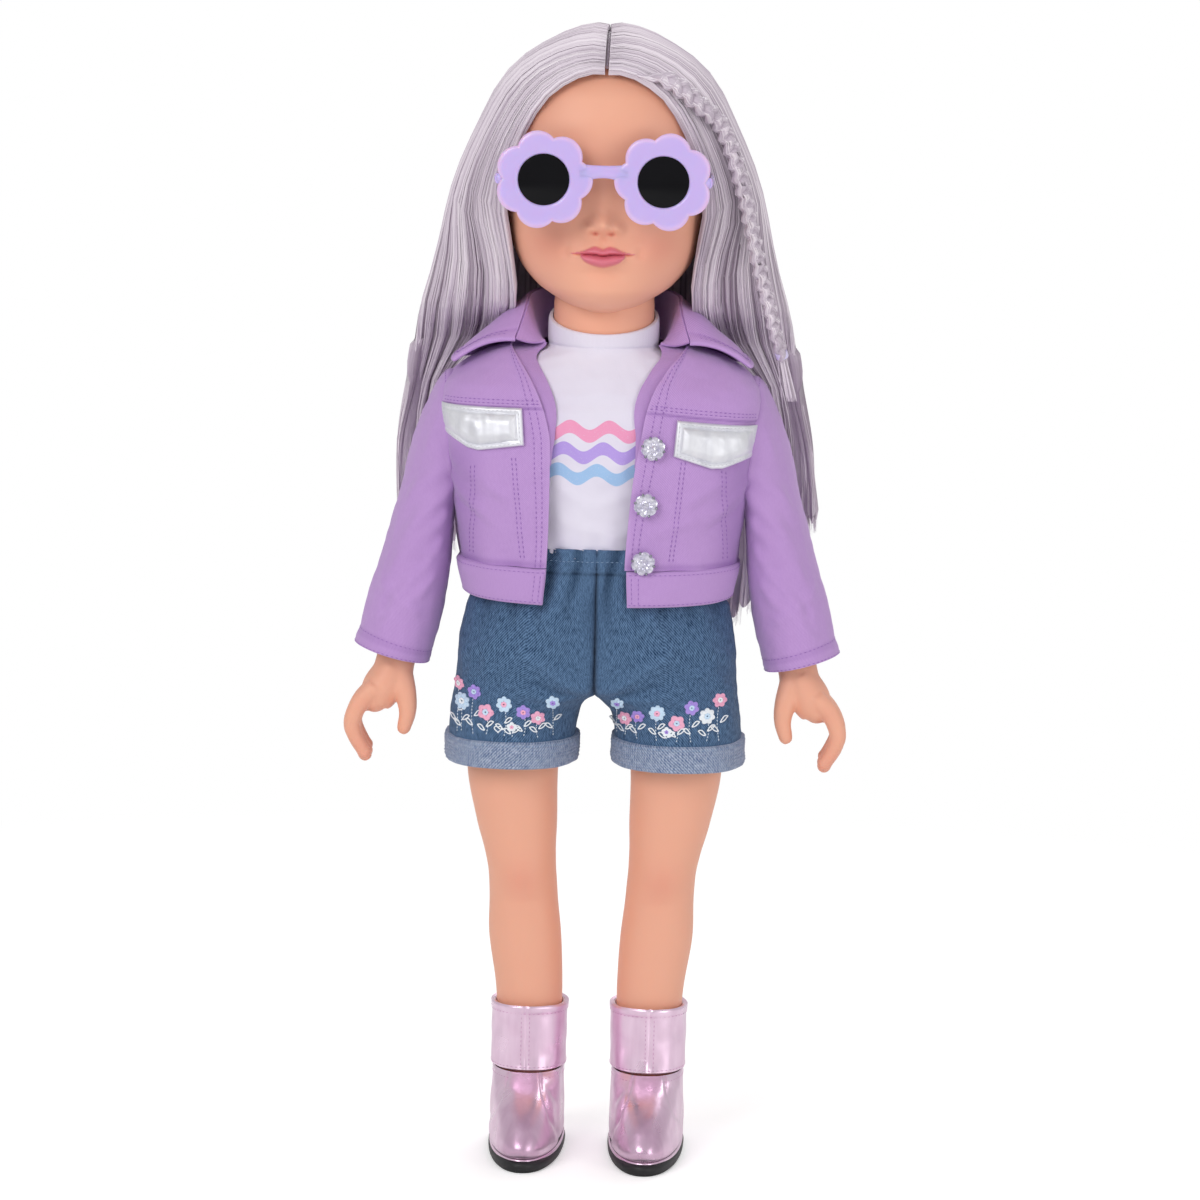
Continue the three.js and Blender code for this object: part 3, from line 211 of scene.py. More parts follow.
# A closed shell between an outer and an inner grid, joined along its open edges.
def shell(outer, inner, wrap=False, size=(100, 100), marks=None):
    rows, columns = outer.shape[:2]
    n = rows * columns
    face = gridFaces(rows, columns, wrap)
    uv = gridUv(rows, columns, wrap, *size)
    faces, uvs = [face, face[:, ::-1] + n], [uv, uv[:, ::-1]]
    c = np.arange(columns if wrap else columns - 1)
    d = (c + 1) % columns
    top = (rows - 1) * columns
    faces.append(stack([d, c, c + n, d + n], -1))
    faces.append(stack([top + c, top + d, top + d + n, top + c + n], -1))
    if not wrap:
        r = np.arange(rows - 1) * columns
        faces.append(stack([r, r + columns, r + columns + n, r + n], -1))
        e = r + columns - 1
        faces.append(stack([e + columns, e, e + n, e + columns + n], -1))
    faces = concatenate(faces)
    rim = np.zeros((len(faces) - 2 * len(face), 4, 2))
    marks = np.zeros((rows, columns, 3)) if marks is None else marks
    both = concatenate([marks.reshape(-1, 3)] * 2)
    return form(concatenate([outer.reshape(-1, 3), inner.reshape(-1, 3)]), faces, concatenate(uvs + [rim]),
                both)


def cloth(outer, thickness, wrap=False, size=(100, 100),
          marks=None):  # a shell with its inner side under the outer
    return shell(outer, outer - outward(outer, wrap) * thickness, wrap, size, marks)


# A closed solid skinned over rings, with a point closing each end.
def skinned(rings, size=(100, 100), marks=None, ends=None):
    rows, columns = rings.shape[:2]
    face = gridFaces(rows, columns, True)
    low, high = (rings[0].mean(0), rings[-1].mean(0)) if ends is None else ends
    n = rows * columns
    c = np.arange(columns)
    d = (c + 1) % columns
    blank = np.full(columns, -1)
    top = n - columns
    caps = [stack([c * 0 + n, d, c, blank], -1), stack([c * 0 + n + 1, top + c, top + d, blank], -1)]
    faces = concatenate([face] + caps)
    uv = concatenate([gridUv(rows, columns, True, *size), np.zeros((2 * columns, 4, 2))])
    marks = np.zeros((rows, columns, 3)) if marks is None else marks
    both = concatenate([marks.reshape(-1, 3), marks[0].mean(0)[None], marks[-1].mean(0)[None]])
    return form(np.vstack([rings.reshape(-1, 3), [low], [high]]), faces, uv, both)


# A tube carried along a path: each ring is centre + radius * (cos * side + sin * up).
def tube(path, radius, sides=10, up=(0, 0, 1), flat=1.0, size=(10, 10)):
    path = np.asarray(path, float)
    way = unit(np.gradient(path, axis=0))
    side = unit(np.cross(way, np.broadcast_to(array(up, float), path.shape)))
    lift = np.cross(side, way)
    a = turns(sides)[None, :, None]
    r = np.broadcast_to(radius, len(path))[:, None, None]
    rings = path[:, None] + r * (cos(a) * side[:, None] + flat * sin(a) * lift[:, None])
    return skinned(rings, size)


def ball(centre, radii, columns=16, rows=10):  # an ellipsoid
    a = turns(columns)[None, :]
    e = linspace(-pi / 2, pi / 2, rows + 2)[1:-1, None]
    unitBall = spread(cos(e) * cos(a), cos(e) * sin(a), sin(e))
    ends = [array(centre) - [0, 0, radii[2]], array(centre) + [0, 0, radii[2]]]
    return skinned(array(centre) + unitBall * radii, ends=ends)


def repeated(plan, count, points):  # one plan of faces for each of count copies with so many points
    start = (np.arange(count) * points)[:, None, None]
    return where(plan[None] < 0, -1, plan[None] + start).reshape(-1, 4)


# Short lens-shaped threads along a path, each an eight-sided bead lying on the surface.
def stitches(path, normal, pitch=2.0, length=1.4, radius=0.16, lift=0.14):
    path, normal = np.asarray(path, float), np.asarray(normal, float)
    run = runOf(path)
    at = np.arange(pitch / 2, run[-1], pitch)
    here, ahead, out = (stack([np.interp(v, run, a[:, k]) for k in range(3)], -1)
                        for v, a in ((at, path), (at + 0.2, path), (at, normal)))
    way = unit(where((at + 0.2 > run[-1])[:, None], path[-1] - path[-2], ahead - here))
    out = unit(out)
    side = np.cross(way, out)
    here = here + out * lift
    corner = stack([here - way * length / 2, here + side * radius, here + out * radius, here - side * radius,
                       here - out * radius, here + way * length / 2], 1)
    plan = array([[0, 2, 1, -1], [0, 3, 2, -1], [0, 4, 3, -1], [0, 1, 4, -1],
                     [5, 1, 2, -1], [5, 2, 3, -1], [5, 3, 4, -1], [5, 4, 1, -1]])
    return form(corner, repeated(plan, len(at), 6))


# Many fine strands at once: each is a flat three-sided rod along its own path, thin at both ends.
def strands(paths, normals, width, depth, tone):
    count, length = paths.shape[:2]
    way = unit(np.gradient(paths, axis=1))
    side = unit(np.cross(way, normals))
    t = linspace(0, 1, length)
    taper = (step(0, 0.08, t) * 0.5 + 0.5) * (1 - 0.85 * step(0.82, 1, t))
    half = (np.broadcast_to(width, count)[:, None] * taper)[..., None] / 2
    rings = stack([paths + side * half, paths + normals * half * 2 * depth, paths - side * half], 2)
    columns = 3
    one = gridFaces(length, columns, True)
    caps = array([[0, 1, 2, -1], [(length - 1) * 3, (length - 1) * 3 + 2, (length - 1) * 3 + 1, -1]])
    plan = concatenate([one, caps])
    faces = repeated(plan, count, length * columns)
    v = np.broadcast_to(t[None, :, None], (count, length, 3))
    tone = np.asarray(tone)
    tone = np.broadcast_to(tone if tone.ndim == 2 else tone[:, None], (count, length))[..., None]
    marks = stack([np.broadcast_to(tone, v.shape), v, np.zeros_like(v)], -1)
    return form(rings, faces, None, marks)


def turnedOver(faces, uv):  # faces and their UVs the other way round
    three = faces[:, 3:] < 0
    faces = where(three, faces[:, [0, 2, 1, 3]], faces[:, ::-1])
    return faces, where(three[..., None], uv[:, [0, 2, 1, 3]], uv[:, ::-1])


# A piece of the doll: one mesh, its faces turned out, with its UV map, marks and material, riding on a body.
def makePiece(name, parts, material, body=None, replaces=(), sharp=38):
    points, faces, uv, marks = merged(parts)
    rest = faces >= 0
    count = rest.sum(1)
    a, b, c = points[faces[:, 0]], points[faces[:, 1]], points[faces[:, 2]]
    d = where(rest[:, 3:], points[faces[:, 3]], c)
    volume = (np.cross(b, c) * a).sum() + (np.cross(c, d) * a).sum()
    if volume < 0:
        faces, uv = turnedOver(faces, uv)
    mesh = bpy.data.meshes.new(name)
    mesh.vertices.add(len(points))
    mesh.vertices.foreach_set("co", (points * mm).astype(np.float32).ravel())
    mesh.loops.add(int(count.sum()))
    mesh.loops.foreach_set("vertex_index", faces[faces >= 0].astype(np.int32))
    mesh.polygons.add(len(faces))
    mesh.polygons.foreach_set("loop_start", (np.cumsum(count) - count).astype(np.int32))
    mesh.update(calc_edges=True)
    layer = mesh.uv_layers.new(name="clothUv")
    layer.data.foreach_set("uv", uv[faces >= 0].astype(np.float32).ravel())
    attribute = mesh.attributes.new("marks", "FLOAT_VECTOR", "POINT")
    attribute.data.foreach_set("vector", marks.astype(np.float32).ravel())
    mesh.validate()
    mesh.shade_smooth()
    mesh.set_sharp_from_angle(angle=np.radians(sharp))
    piece = bpy.data.objects.new(name, mesh)
    bpy.context.collection.objects.link(piece)
    mesh.materials.append(material)
    if body:
        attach(piece, body)
    if replaces:
        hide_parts(*replaces)
    return piece


def mirrored(parts):  # forms reflected to the other side of the doll, faces turned to match
    return [[points * [-1, 1, 1], *turnedOver(faces, uv), marks] for points, faces, uv, marks in parts]


def makePair(name, parts, material, body, replaced, sharp):  # the left piece and its mirror image
    for side, made in (("left_", parts), ("right_", mirrored(parts))):
        makePiece(side + name, made, material, side + body, [side + replaced] if replaced else [], sharp)


# Camera, light and floor
studio = {
    "azimuth": 1.5, "distance": 2167, "height": 536, "aim": (0.8, 0, 226.2), "roll": 1.25, "lens": 161.1,
    "key": 13, "fill": 5.5, "rim": 7, "sky": 0.55, "floor": (0.93, 0.93, 0.93), "floorGlow": 0.3,
    "fade": (0.2, 0.75)}


def isSocket(value):
    return isinstance(value, bpy.types.NodeSocket)


def node(tree, kind, inputs=None, **settings):  # a shader node with its settings, values and links
    made = tree.nodes.new("ShaderNode" + kind)
    for key, value in settings.items():
        setattr(made, key, value)
    for key, value in (inputs or {}).items():
        if isSocket(value):
            tree.links.new(value, made.inputs[key])
        else:
            made.inputs[key].default_value = value
    return made


def maths(operation, *values, use_clamp=False):  # the result of a Math node, in the tree of its first socket
    tree = next(value for value in values if isSocket(value)).id_data
    inputs = dict(enumerate((*values, 0.0, 0.0)[:3]))
    return node(tree, "Math", inputs, operation=operation, use_clamp=use_clamp).outputs[0]


def times(a, b):
    return maths("MULTIPLY", a, b)


def plus(a, b):
    return maths("ADD", a, b)


def minus(a, b):
    return maths("SUBTRACT", a, b)


def timesPlus(a, b, c):
    return maths("MULTIPLY_ADD", a, b, c)


def clamped(value):  # kept between 0 and 1
    return maths("ADD", value, 0.0, use_clamp=True)


def mixed(share, a, b):  # colour a, turning into b as share goes from 0 to 1
    return node(share.id_data, "Mix", {0: share, 6: a, 7: b}, data_type="RGBA").outputs[2]


def rgb(text, alpha=1.0):  # an sRGB colour written as six hex digits, as linear values
    v = array([int(text[i:i + 2], 16) for i in (0, 2, 4)]) / 255
    v = where(v <= 0.04045, v / 12.92, ((v + 0.055) / 1.055) ** 2.4)
    return (*[float(x) for x in v], alpha)


def areaLight(name, place, aim, width, height, power, colour=(1, 1, 1)):
    lamp = bpy.data.lights.new(name, "AREA")
    lamp.shape = "RECTANGLE"
    lamp.size, lamp.size_y, lamp.energy, lamp.color = width, height, power, colour
    holder = bpy.data.objects.new(name, lamp)
    bpy.context.collection.objects.link(holder)
    holder.location = place
    pointAt(holder, aim)


def pointAt(thing, aim, roll=0.0):
    way = Vector(aim) - thing.location
    turn = way.to_track_quat("-Z", "Y").to_matrix() @ Matrix.Rotation(np.radians(roll), 3, "Z")
    thing.rotation_euler = turn.to_euler()


def makeCamera():
    lens = bpy.data.cameras.new("camera")
    lens.lens, lens.sensor_width = studio["lens"], 36
    lens.clip_end = 20
    camera = bpy.data.objects.new("camera", lens)
    bpy.context.collection.objects.link(camera)
    turn = np.radians(studio["azimuth"])
    aim = array(studio["aim"]) * mm
    drop = (studio["height"] - studio["aim"][2]) * mm
    reach = studio["distance"] * mm
    camera.location = (aim[0] + reach * sin(turn), aim[1] - reach * cos(turn), aim[2] + drop)
    pointAt(camera, aim, studio["roll"])
    bpy.context.scene.camera = camera


def emptyTree(owner):  # the node tree of a material or world, with no nodes in it
    owner.use_nodes = True
    owner.node_tree.nodes.clear()
    return owner.node_tree


def makeLight():
    areaLight("key", (-0.9, -1.5, 1.25), (0, 0, 0.25), 0.9, 0.9, studio["key"])
    areaLight("fill", (1.3, -1.2, 0.6), (0, 0, 0.22), 0.7, 1.2, studio["fill"])
    areaLight("rim", (0.3, 1.2, 1.3), (0, 0, 0.3), 0.9, 0.6, studio["rim"])
    world = bpy.data.worlds.new("studio")
    bpy.context.scene.world = world
    tree = emptyTree(world)
    path = node(tree, "LightPath")
    seen = maths("MAXIMUM", path.outputs["Is Camera Ray"], path.outputs["Is Transmission Ray"])
    ambient = node(tree, "Background", {"Color": (1, 1, 1, 1), "Strength": studio["sky"]})
    plain = node(tree, "Background", {"Color": (1, 1, 1, 1), "Strength": 1.0})
    both = node(tree, "MixShader", {0: seen, 1: ambient.outputs[0], 2: plain.outputs[0]})
    tree.links.new(both.outputs[0], node(tree, "OutputWorld").inputs[0])
    bpy.context.scene.view_settings.view_transform = "Standard"


def makeFloor():  # a matt floor that fades to white with distance
    left, front, back, z = -9000, -6000, 9000, -0.05
    floor = form([[left, front, z], [-left, front, z], [-left, back, z], [left, back, z]], [[0, 1, 2, 3]])
    paint = bpy.data.materials.new("floorPaint")
    tree = emptyTree(paint)
    path = node(tree, "LightPath")
    matt = node(tree, "BsdfDiffuse", {"Color": (*studio["floor"], 1)})
    strength = times(path.outputs["Is Camera Ray"], studio["floorGlow"])
    glow = node(tree, "Emission", {"Color": (1, 1, 1, 1), "Strength": strength})
    lit = node(tree, "AddShader", {0: matt.outputs[0], 1: glow.outputs[0]})
    away = node(tree, "VectorMath", {0: node(tree, "TexCoord").outputs["Object"]},
                operation="LENGTH").outputs["Value"]
    near, far = studio["fade"]
    faded = clamped(maths("DIVIDE", minus(away, near), far - near))
    seen = times(faded, path.outputs["Is Camera Ray"])
    white = node(tree, "Emission", {"Color": (1, 1, 1, 1), "Strength": 1.0})
    both = node(tree, "MixShader", {0: seen, 1: lit.outputs[0], 2: white.outputs[0]})
    tree.links.new(both.outputs[0], node(tree, "OutputMaterial").inputs[0])
    makePiece("floor", [floor], paint)


# Shader node groups that several materials use. Each puts out only colours, masks and heights. An input with
# no value of its own is a vector.
def newGroup(name, inputs, outputs):
    tree = bpy.data.node_groups.new(name, "ShaderNodeTree")
    for label, value in inputs.items():
        kind = "Vector" if value is None else "Color" if isinstance(value, tuple) else "Float"
        socket = tree.interface.new_socket(label, in_out="INPUT", socket_type="NodeSocket" + kind)
        if value is not None:
            socket.default_value = value
    for label in outputs:
        kind = "Color" if label == "Color" else "Float"
        tree.interface.new_socket(label, in_out="OUTPUT", socket_type="NodeSocket" + kind)
    return tree, tree.nodes.new("NodeGroupInput").outputs, tree.nodes.new("NodeGroupOutput").inputs


def placeGroup(tree, group, inputs):
    return node(tree, "Group", inputs, node_tree=group).outputs


# Twill: threads across and along at a pitch in UV millimetres; the warp shows where the slanted rib is high.
def makeTwillGroup():
    inputs = {"UV": None, "Pitch": 0.5, "Warp": (1, 1, 1, 1), "Weft": (0, 0, 0, 1), "Slub": 0.3}
    tree, given, out = newGroup("twillWeave", inputs, ["Color", "Height"])
    turning = maths("DIVIDE", 2 * pi, given["Pitch"])
    scaled = node(tree, "VectorMath", {0: given["UV"], "Scale": turning}, operation="SCALE")
    parts = node(tree, "SeparateXYZ", {0: scaled.outputs[0]})
    x, y = parts.outputs[0], parts.outputs[1]
    rib = maths("SINE", plus(times(x, 0.5), times(y, 0.5)))
    thread = times(maths("SINE", x), maths("SINE", y))
    along = node(tree, "VectorMath", {0: given["UV"], 1: (1.0, 0.38, 1.0)}, operation="MULTIPLY").outputs[0]
    slub = node(tree, "TexNoise", {"Vector": along, "Scale": 1.05, "Detail": 3.0, "Roughness": 0.75})
    rough = times(minus(slub.outputs[0], 0.5), given["Slub"])
    height = plus(timesPlus(rib, 0.3, 0.5), times(thread, 0.16))
    shown = clamped(plus(height, rough))
    tree.links.new(mixed(shown, given["Weft"], given["Warp"]), out["Color"])
    tree.links.new(height, out["Height"])
    return tree


# Handling: broad soft patches and fine dust, as a mask from 0 to 1.
def makeHandlingGroup():
    inputs = {"Vector": None, "Broad": 30.0, "Fine": 500.0}
    tree, given, out = newGroup("handling", inputs, ["Patches", "Dust"])
    broad = node(tree, "TexNoise", {"Vector": given["Vector"], "Scale": given["Broad"], "Detail": 3.0})
    fine = node(tree, "TexNoise", {"Vector": given["Vector"], "Scale": given["Fine"], "Detail": 2.0})
    tree.links.new(broad.outputs[0], out["Patches"])
    tree.links.new(fine.outputs[0], out["Dust"])
    return tree


# Foil crinkle: the edges of a stretched cell pattern and soft noise, as a height.
def makeFoilGroup():
    inputs = {"Vector": None, "Scale": 200.0, "Soft": 60.0}
    tree, given, out = newGroup("foilCrinkle", inputs, ["Height", "Wear"])
    warped = node(tree, "TexNoise", {"Vector": given["Vector"], "Scale": given["Soft"], "Detail": 2.0})
    bent = node(tree, "VectorMath", {0: warped.outputs["Color"], 1: (0.012, 0.012, 0.012)},
                operation="MULTIPLY")
    moved = node(tree, "VectorMath", {0: given["Vector"], 1: bent.outputs[0]}, operation="ADD")
    cell = node(tree, "TexVoronoi", {"Vector": moved.outputs[0], "Scale": given["Scale"]},
                feature="DISTANCE_TO_EDGE")
    crease = clamped(times(cell.outputs["Distance"], 3.0))
    tree.links.new(timesPlus(warped.outputs[0], 1.2, times(crease, 0.35)), out["Height"])
    tree.links.new(minus(1.0, crease), out["Wear"])
    return tree


twillGroup = makeTwillGroup()
handlingGroup = makeHandlingGroup()
foilGroup = makeFoilGroup()


def newFinish(name, **sockets):  # a material with its Principled BSDF and constant values set on it
    finish = bpy.data.materials.new(name)
    tree = emptyTree(finish)
    shader = node(tree, "BsdfPrincipled", {key.replace("_", " "): value for key, value in sockets.items()})
    tree.links.new(shader.outputs[0], node(tree, "OutputMaterial").inputs[0])
    coordinates = node(tree, "TexCoord")
    return finish, tree, shader, coordinates.outputs["Object"], coordinates.outputs["UV"]


def joined(shader, **values):  # values linked to a shader's inputs
    for key, value in values.items():
        shader.id_data.links.new(value, shader.inputs[key.replace("_", " ")])


def bumped(shader, height, strength, distance):
    bump = node(shader.id_data, "Bump", {"Height": height, "Strength": strength, "Distance": distance})
    joined(shader, Normal=bump.outputs[0])


def marksIn(tree):
    marks = node(tree, "Attribute", attribute_name="marks")
    return node(tree, "SeparateXYZ", {0: marks.outputs["Vector"]}).outputs


def twillFinish(name, warp, weft, shade, pitch, slub, bump, roughness=0.85, sheen=0.25):
    # marks: 0 darkens with painted shade in folds, seams and gathers; 1 lightens worn edges, and also paints
    # highlight on the shorts' fold ridges
    finish, tree, shader, here, uv = newFinish(name, Roughness=roughness, Sheen_Weight=sheen,
                                               Sheen_Roughness=0.5, Specular_IOR_Level=0.25)
    weave = placeGroup(tree, twillGroup, {"UV": uv, "Pitch": pitch, "Warp": rgb(warp), "Weft": rgb(weft),
                                          "Slub": slub})
    wear = placeGroup(tree, handlingGroup, {"Vector": here, "Broad": 28.0, "Fine": 900.0})
    marks = marksIn(tree)
    patchy = mixed(times(wear["Patches"], 0.16), weave["Color"], rgb(shade))
    dark = mixed(clamped(marks[0]), patchy, rgb(shade))
    light = mixed(times(marks[1], 0.7), dark, rgb(warp))
    joined(shader, Base_Color=light)
    bumped(shader, timesPlus(wear["Dust"], 0.25, weave["Height"]), bump, 0.00025)
    return finish


def plasticFinish(name, colour, deep, roughness, coat=0.0, metallic=0.0, fine=700.0):
    finish, tree, shader, here, _ = newFinish(name, Metallic=metallic, Coat_Weight=coat, Coat_Roughness=0.12)
    wear = placeGroup(tree, handlingGroup, {"Vector": here, "Broad": 40.0, "Fine": fine})
    joined(shader, Base_Color=mixed(times(wear["Patches"], 0.35), rgb(colour), rgb(deep)),
           Roughness=timesPlus(wear["Dust"], 0.12, roughness - 0.06))
    bumped(shader, wear["Dust"], 0.08, 0.0002)
    return finish


def vinylFinish():
    # marks: 0 lips, 1 blush and shade, 2 brows, lashes and other paint
    finish, tree, shader, here, _ = newFinish("vinylSkin", Subsurface_Weight=0.12, Subsurface_Scale=0.004,
                                              Subsurface_Radius=(1.0, 0.45, 0.25), Specular_IOR_Level=0.35)
    wear = placeGroup(tree, handlingGroup, {"Vector": here, "Broad": 22.0, "Fine": 1400.0})
    marks = marksIn(tree)
    base = mixed(times(wear["Patches"], 0.25), rgb("f0b095"), rgb("e8a488"))
    warm = mixed(marks[1], base, rgb("dd8272"))
    lips = mixed(marks[0], warm, rgb("de7888"))
    paint = mixed(marks[2], lips, rgb("6b4a3c"))
    joined(shader, Base_Color=paint,
           Roughness=timesPlus(marks[0], -0.14, timesPlus(wear["Dust"], 0.1, 0.42)))
    bumped(shader, wear["Dust"], 0.06, 0.0002)
    return finish


def foilFinish(name, colour, deep, roughness, scale, soft, bump, metallic, reflectionStreaks):
    finish, tree, shader, here, _ = newFinish(name, Metallic=metallic, Coat_Weight=0.15, Coat_Roughness=0.15)
    crinkle = placeGroup(tree, foilGroup, {"Vector": here, "Scale": scale, "Soft": soft})
    marks = marksIn(tree)
    # The stretched streak noise paints mottled reflections into the colour. Marks 0 is painted shade and
    # painted dark reflection (on the boot toe). The crinkle lines darken and roughen the foil as wear.
    drawn = node(tree, "Mapping", {"Vector": here, "Scale": (170.0, 170.0, 26.0)})
    streak = node(tree, "TexNoise", {"Vector": drawn.outputs[0], "Scale": 1.0, "Detail": 3.0,
                                     "Distortion": 0.6})
    wearAndPaintedLight = timesPlus(crinkle["Wear"], 0.12, marks[0])
    wearAndPaintedLight = timesPlus(minus(streak.outputs[0], 0.45), reflectionStreaks, wearAndPaintedLight)
    wearAndPaintedLight = clamped(wearAndPaintedLight)
    joined(shader, Base_Color=mixed(wearAndPaintedLight, rgb(colour), rgb(deep)),
           Roughness=timesPlus(crinkle["Wear"], 0.1, roughness))
    bumped(shader, plus(crinkle["Height"], streak.outputs[0]), bump, 0.0009)
    return finish


lilacTwill = twillFinish("lilacTwill", "cda7de", "b58bcb", "8a60a8", 0.42, 0.6, 0.35)
denimTwill = twillFinish("denimTwill", "6c8cb2", "0f2f50", "122a44", 0.62, 2.1, 0.55, 0.9, 0.06)
denimReverse = twillFinish("denimReverse", "ccd5e6", "5c7198", "4f6388", 0.74, 2.6, 0.75, 0.9, 0.06)
vinylSkin = vinylFinish()
silverFoil = foilFinish("silverFoil", "eeeef3", "bcbcc8", 0.47, 150.0, 70.0, 0.16, 0.7, 0.9)
pinkFoil = foilFinish("pinkFoil", "f8dbf0", "b98aae", 0.27, 70.0, 30.0, 0.16, 0.78, 0.5)
blackRubber = plasticFinish("blackRubber", "19191c", "0b0b0d", 0.5)
lilacPlastic = plasticFinish("lilacPlastic", "e0d6f8", "d1c4f2", 0.28, 0.35)
whitePlastic = plasticFinish("whitePlastic", "f1efeb", "e2dfd8", 0.4)
springSteel = plasticFinish("springSteel", "9a9ca2", "74767c", 0.35, metallic=0.9)
lilacThread = plasticFinish("lilacThread", "9a6cbc", "8a5dac", 0.7)
silverThread = plasticFinish("silverThread", "cfcfd6", "b4b4bc", 0.5)
print("stage: finishes made")
makeCamera()
makeLight()
makeFloor()


# The head: ovals whose half width, front and back follow the rise above the chin, with bumps for the face
headShape = through([
    [0, 8, 24, 12], [2.5, 15, 31, 15], [5.5, 20.5, 35, 18], [10.5, 27.6, 37.8, 22], [20, 35, 39, 29],
    [29, 38.4, 39.6, 35.5], [38, 40, 40.2, 42], [50, 42, 42, 47.5], [60, 42.9, 44.2, 50],
    [74, 43.2, 46, 49.5], [86, 39.8, 43, 44.5], [96, 32.5, 35.5, 36.5], [103, 22.5, 25, 25.5],
    [107, 11, 12.5, 12.5], [108, 4, 4.5, 4.5]])
headPower = 2.25
# each [x, rise, half width, half height, how far it stands forwards]
faceBumps = array([
    [0, 36.6, 4.6, 4.4, 5.6], [0, 36.8, 3.2, 2.9, 2.1], [0, 47, 5.2, 9.0, 2.2], [-6.0, 35.2, 2.4, 2.3, 2.7],
    [6.0, 35.2, 2.4, 2.3, 2.7], [-3, 33.1, 1.5, 0.8, -1.9], [3, 33.1, 1.5, 0.8, -1.9],
    [0, 30, 1.3, 2.2, -0.8], [0, 23.6, 13, 6, 2.4], [0, 17.6, 7, 1.9, -1.3], [0, 9.5, 9, 5, 2],
    [-18, 25, 11, 10, 1.9], [18, 25, 11, 10, 1.9], [-14.6, 25.2, 1.8, 2.2, -1.1],
    [14.6, 25.2, 1.8, 2.2, -1.1], [-18.5, 51.5, 8, 6, -2.2], [18.5, 51.5, 8, 6, -2.2],
    [-17, 60, 9, 3.2, 0.9], [17, 60, 9, 3.2, 0.9]])
face = {
    "mouthRise": 24.7, "mouthHalf": 13.6, "smile": 0.2, "upperLip": 3.5, "lowerLip": 4.4, "upperOut": 2.6,
    "lowerOut": 3.4}
eyes = {"spread": 18.5, "back": 28.5, "rise": 51.5, "radius": 9.5, "slot": (8.6, 5.2)}


def mouthShape(x, rise):  # how far the lips stand forwards, and their paint mask
    share = clip(abs(x) / face["mouthHalf"], 0, 1)
    line = face["mouthRise"] + face["smile"] * share ** 2 - 0.5 * bell(x, 0, 2.5)
    bow = (1 + 0.35 * sin(pi * clip(share / 0.6, 0, 1))) * (1 - 0.2 * bell(x, 0, 1.8))
    upper = face["upperLip"] * (1 - share) ** 1.15 * bow + 1e-3
    lower = (face["lowerLip"] * clip(1 - (share / 0.66) ** 2.6, 0, 1) ** 0.6 + 0.35 * clip(1 - share, 0, 1)
             + 1e-3)
    high, low = (rise - line) / upper, (line - rise) / lower
    bulge = face["upperOut"] * sin(pi * clip(high, 0, 1)) ** 0.8 * (1 - share ** 2)
    bulge = bulge + face["lowerOut"] * sin(pi * clip(low, 0, 1)) ** 0.8 * (1 - share ** 2)
    bulge = bulge - 1.1 * bell(rise, line, 0.55) * step(1, 0.7, share)
    inside = where(rise > line, 1 - high, 1 - low)
    return bulge, step(-0.06, 0.1, inside) * step(1, 0.9, share)


def headPoint(angle, rise, grow=0.0):  # a point of the plain head, without the face's bumps
    w, f, b = np.moveaxis(headShape(rise), -1, 0)
    return oval(angle, w + grow, f + grow, b + grow, headPower)


def makeHead():
    t = linspace(-pi, pi, 281)[:-1]
    angle = (-pi / 2 + t - 0.5 * sin(t))[None, :]
    rise = concatenate([[0.15, 0.6, 1.3, 2.2, 3.2], np.arange(4.2, 66, 0.4), linspace(66.5, 100, 30),
                           108 - 8 * linspace(1, 0.03, 12) ** 1.6])[:, None]
    x, y = headPoint(angle, rise)
    bumps = faceBumps[:, :, None, None]
    relief = (bumps[:, 4] * exp(-((x - bumps[:, 0]) / bumps[:, 2]) ** 2
                                - ((rise - bumps[:, 1]) / bumps[:, 3]) ** 2)).sum(0)
    lips, paint = mouthShape(x, rise)
    front = clip(-y / 12, 0, 1)
    w, h = eyes["slot"]
    eyeAway = np.hypot((abs(x) - eyes["spread"]) / w, (rise - eyes["rise"]) / h)
    slot = step(1.08, 0.94, eyeAway)
    lid = bell(eyeAway, 1.16, 0.13)
    y = y - (relief + lips + 0.5 * lid - 7 * slot) * front
    z = chinHeight + rise
    points = spread(x, y, z)
    blush = 0.4 * exp(-((abs(x) - 22) / 10) ** 2 - ((rise - 28) / 9) ** 2) * front
    # painted shade in the nostrils
    nostrilShade = 0.75 * exp(-((abs(x) - 3.0) / 1.5) ** 2 - ((rise - 33.0) / 0.9) ** 2) * front
    lash = bell(eyeAway, 1.03, 0.07) * step(-0.2, 0.4, (rise - eyes["rise"]) / h) * front * 0.8
    marks = marksOf(points, paint * front, blush + nostrilShade, lash)
    skull = skinned(points, marks=marks, ends=[(0, -8, chinHeight), (0, 0, chinHeight + 108)])
    forms = [skull, neckForm(), earForm(-1), earForm(1)]
    makePiece("head_skin", forms, vinylSkin, "head", ["head"], 60)


def neckForm():  # a column with a pressed line at its foot and another under the chin
    a = turns(96)[None, :]
    level = concatenate([[331, 331.6], linspace(333, 361, 20)])[:, None]
    radius = 20.3 - 0.5 * bell(level, 331, 0.7) - 0.25 * bell(level, 350, 1.1)
    return skinned(spread(radius * cos(a), radius * sin(a), level))


def earForm(side):  # an egg with a raised rim, turned a little forwards
    e, c = linspace(-1.5, 1.5, 26)[:, None], turns(36)[None, :]
    fold = 0.9 * bell(np.hypot(e, sin(c) * 0.9), 0.75, 0.28)
    p = spread(cos(e) * cos(c) * (3.0 + fold), cos(e) * sin(c) * 4.8, sin(e) * 8.2)
    turn = 0.35
    p = p @ array([[cos(turn), side * sin(turn), 0], [-side * sin(turn), cos(turn), 0], [0, 0, 1]])
    p[..., 1] -= 0.2 * p[..., 2]
    return skinned(p + [side * 40.8, 6, chinHeight + 35])


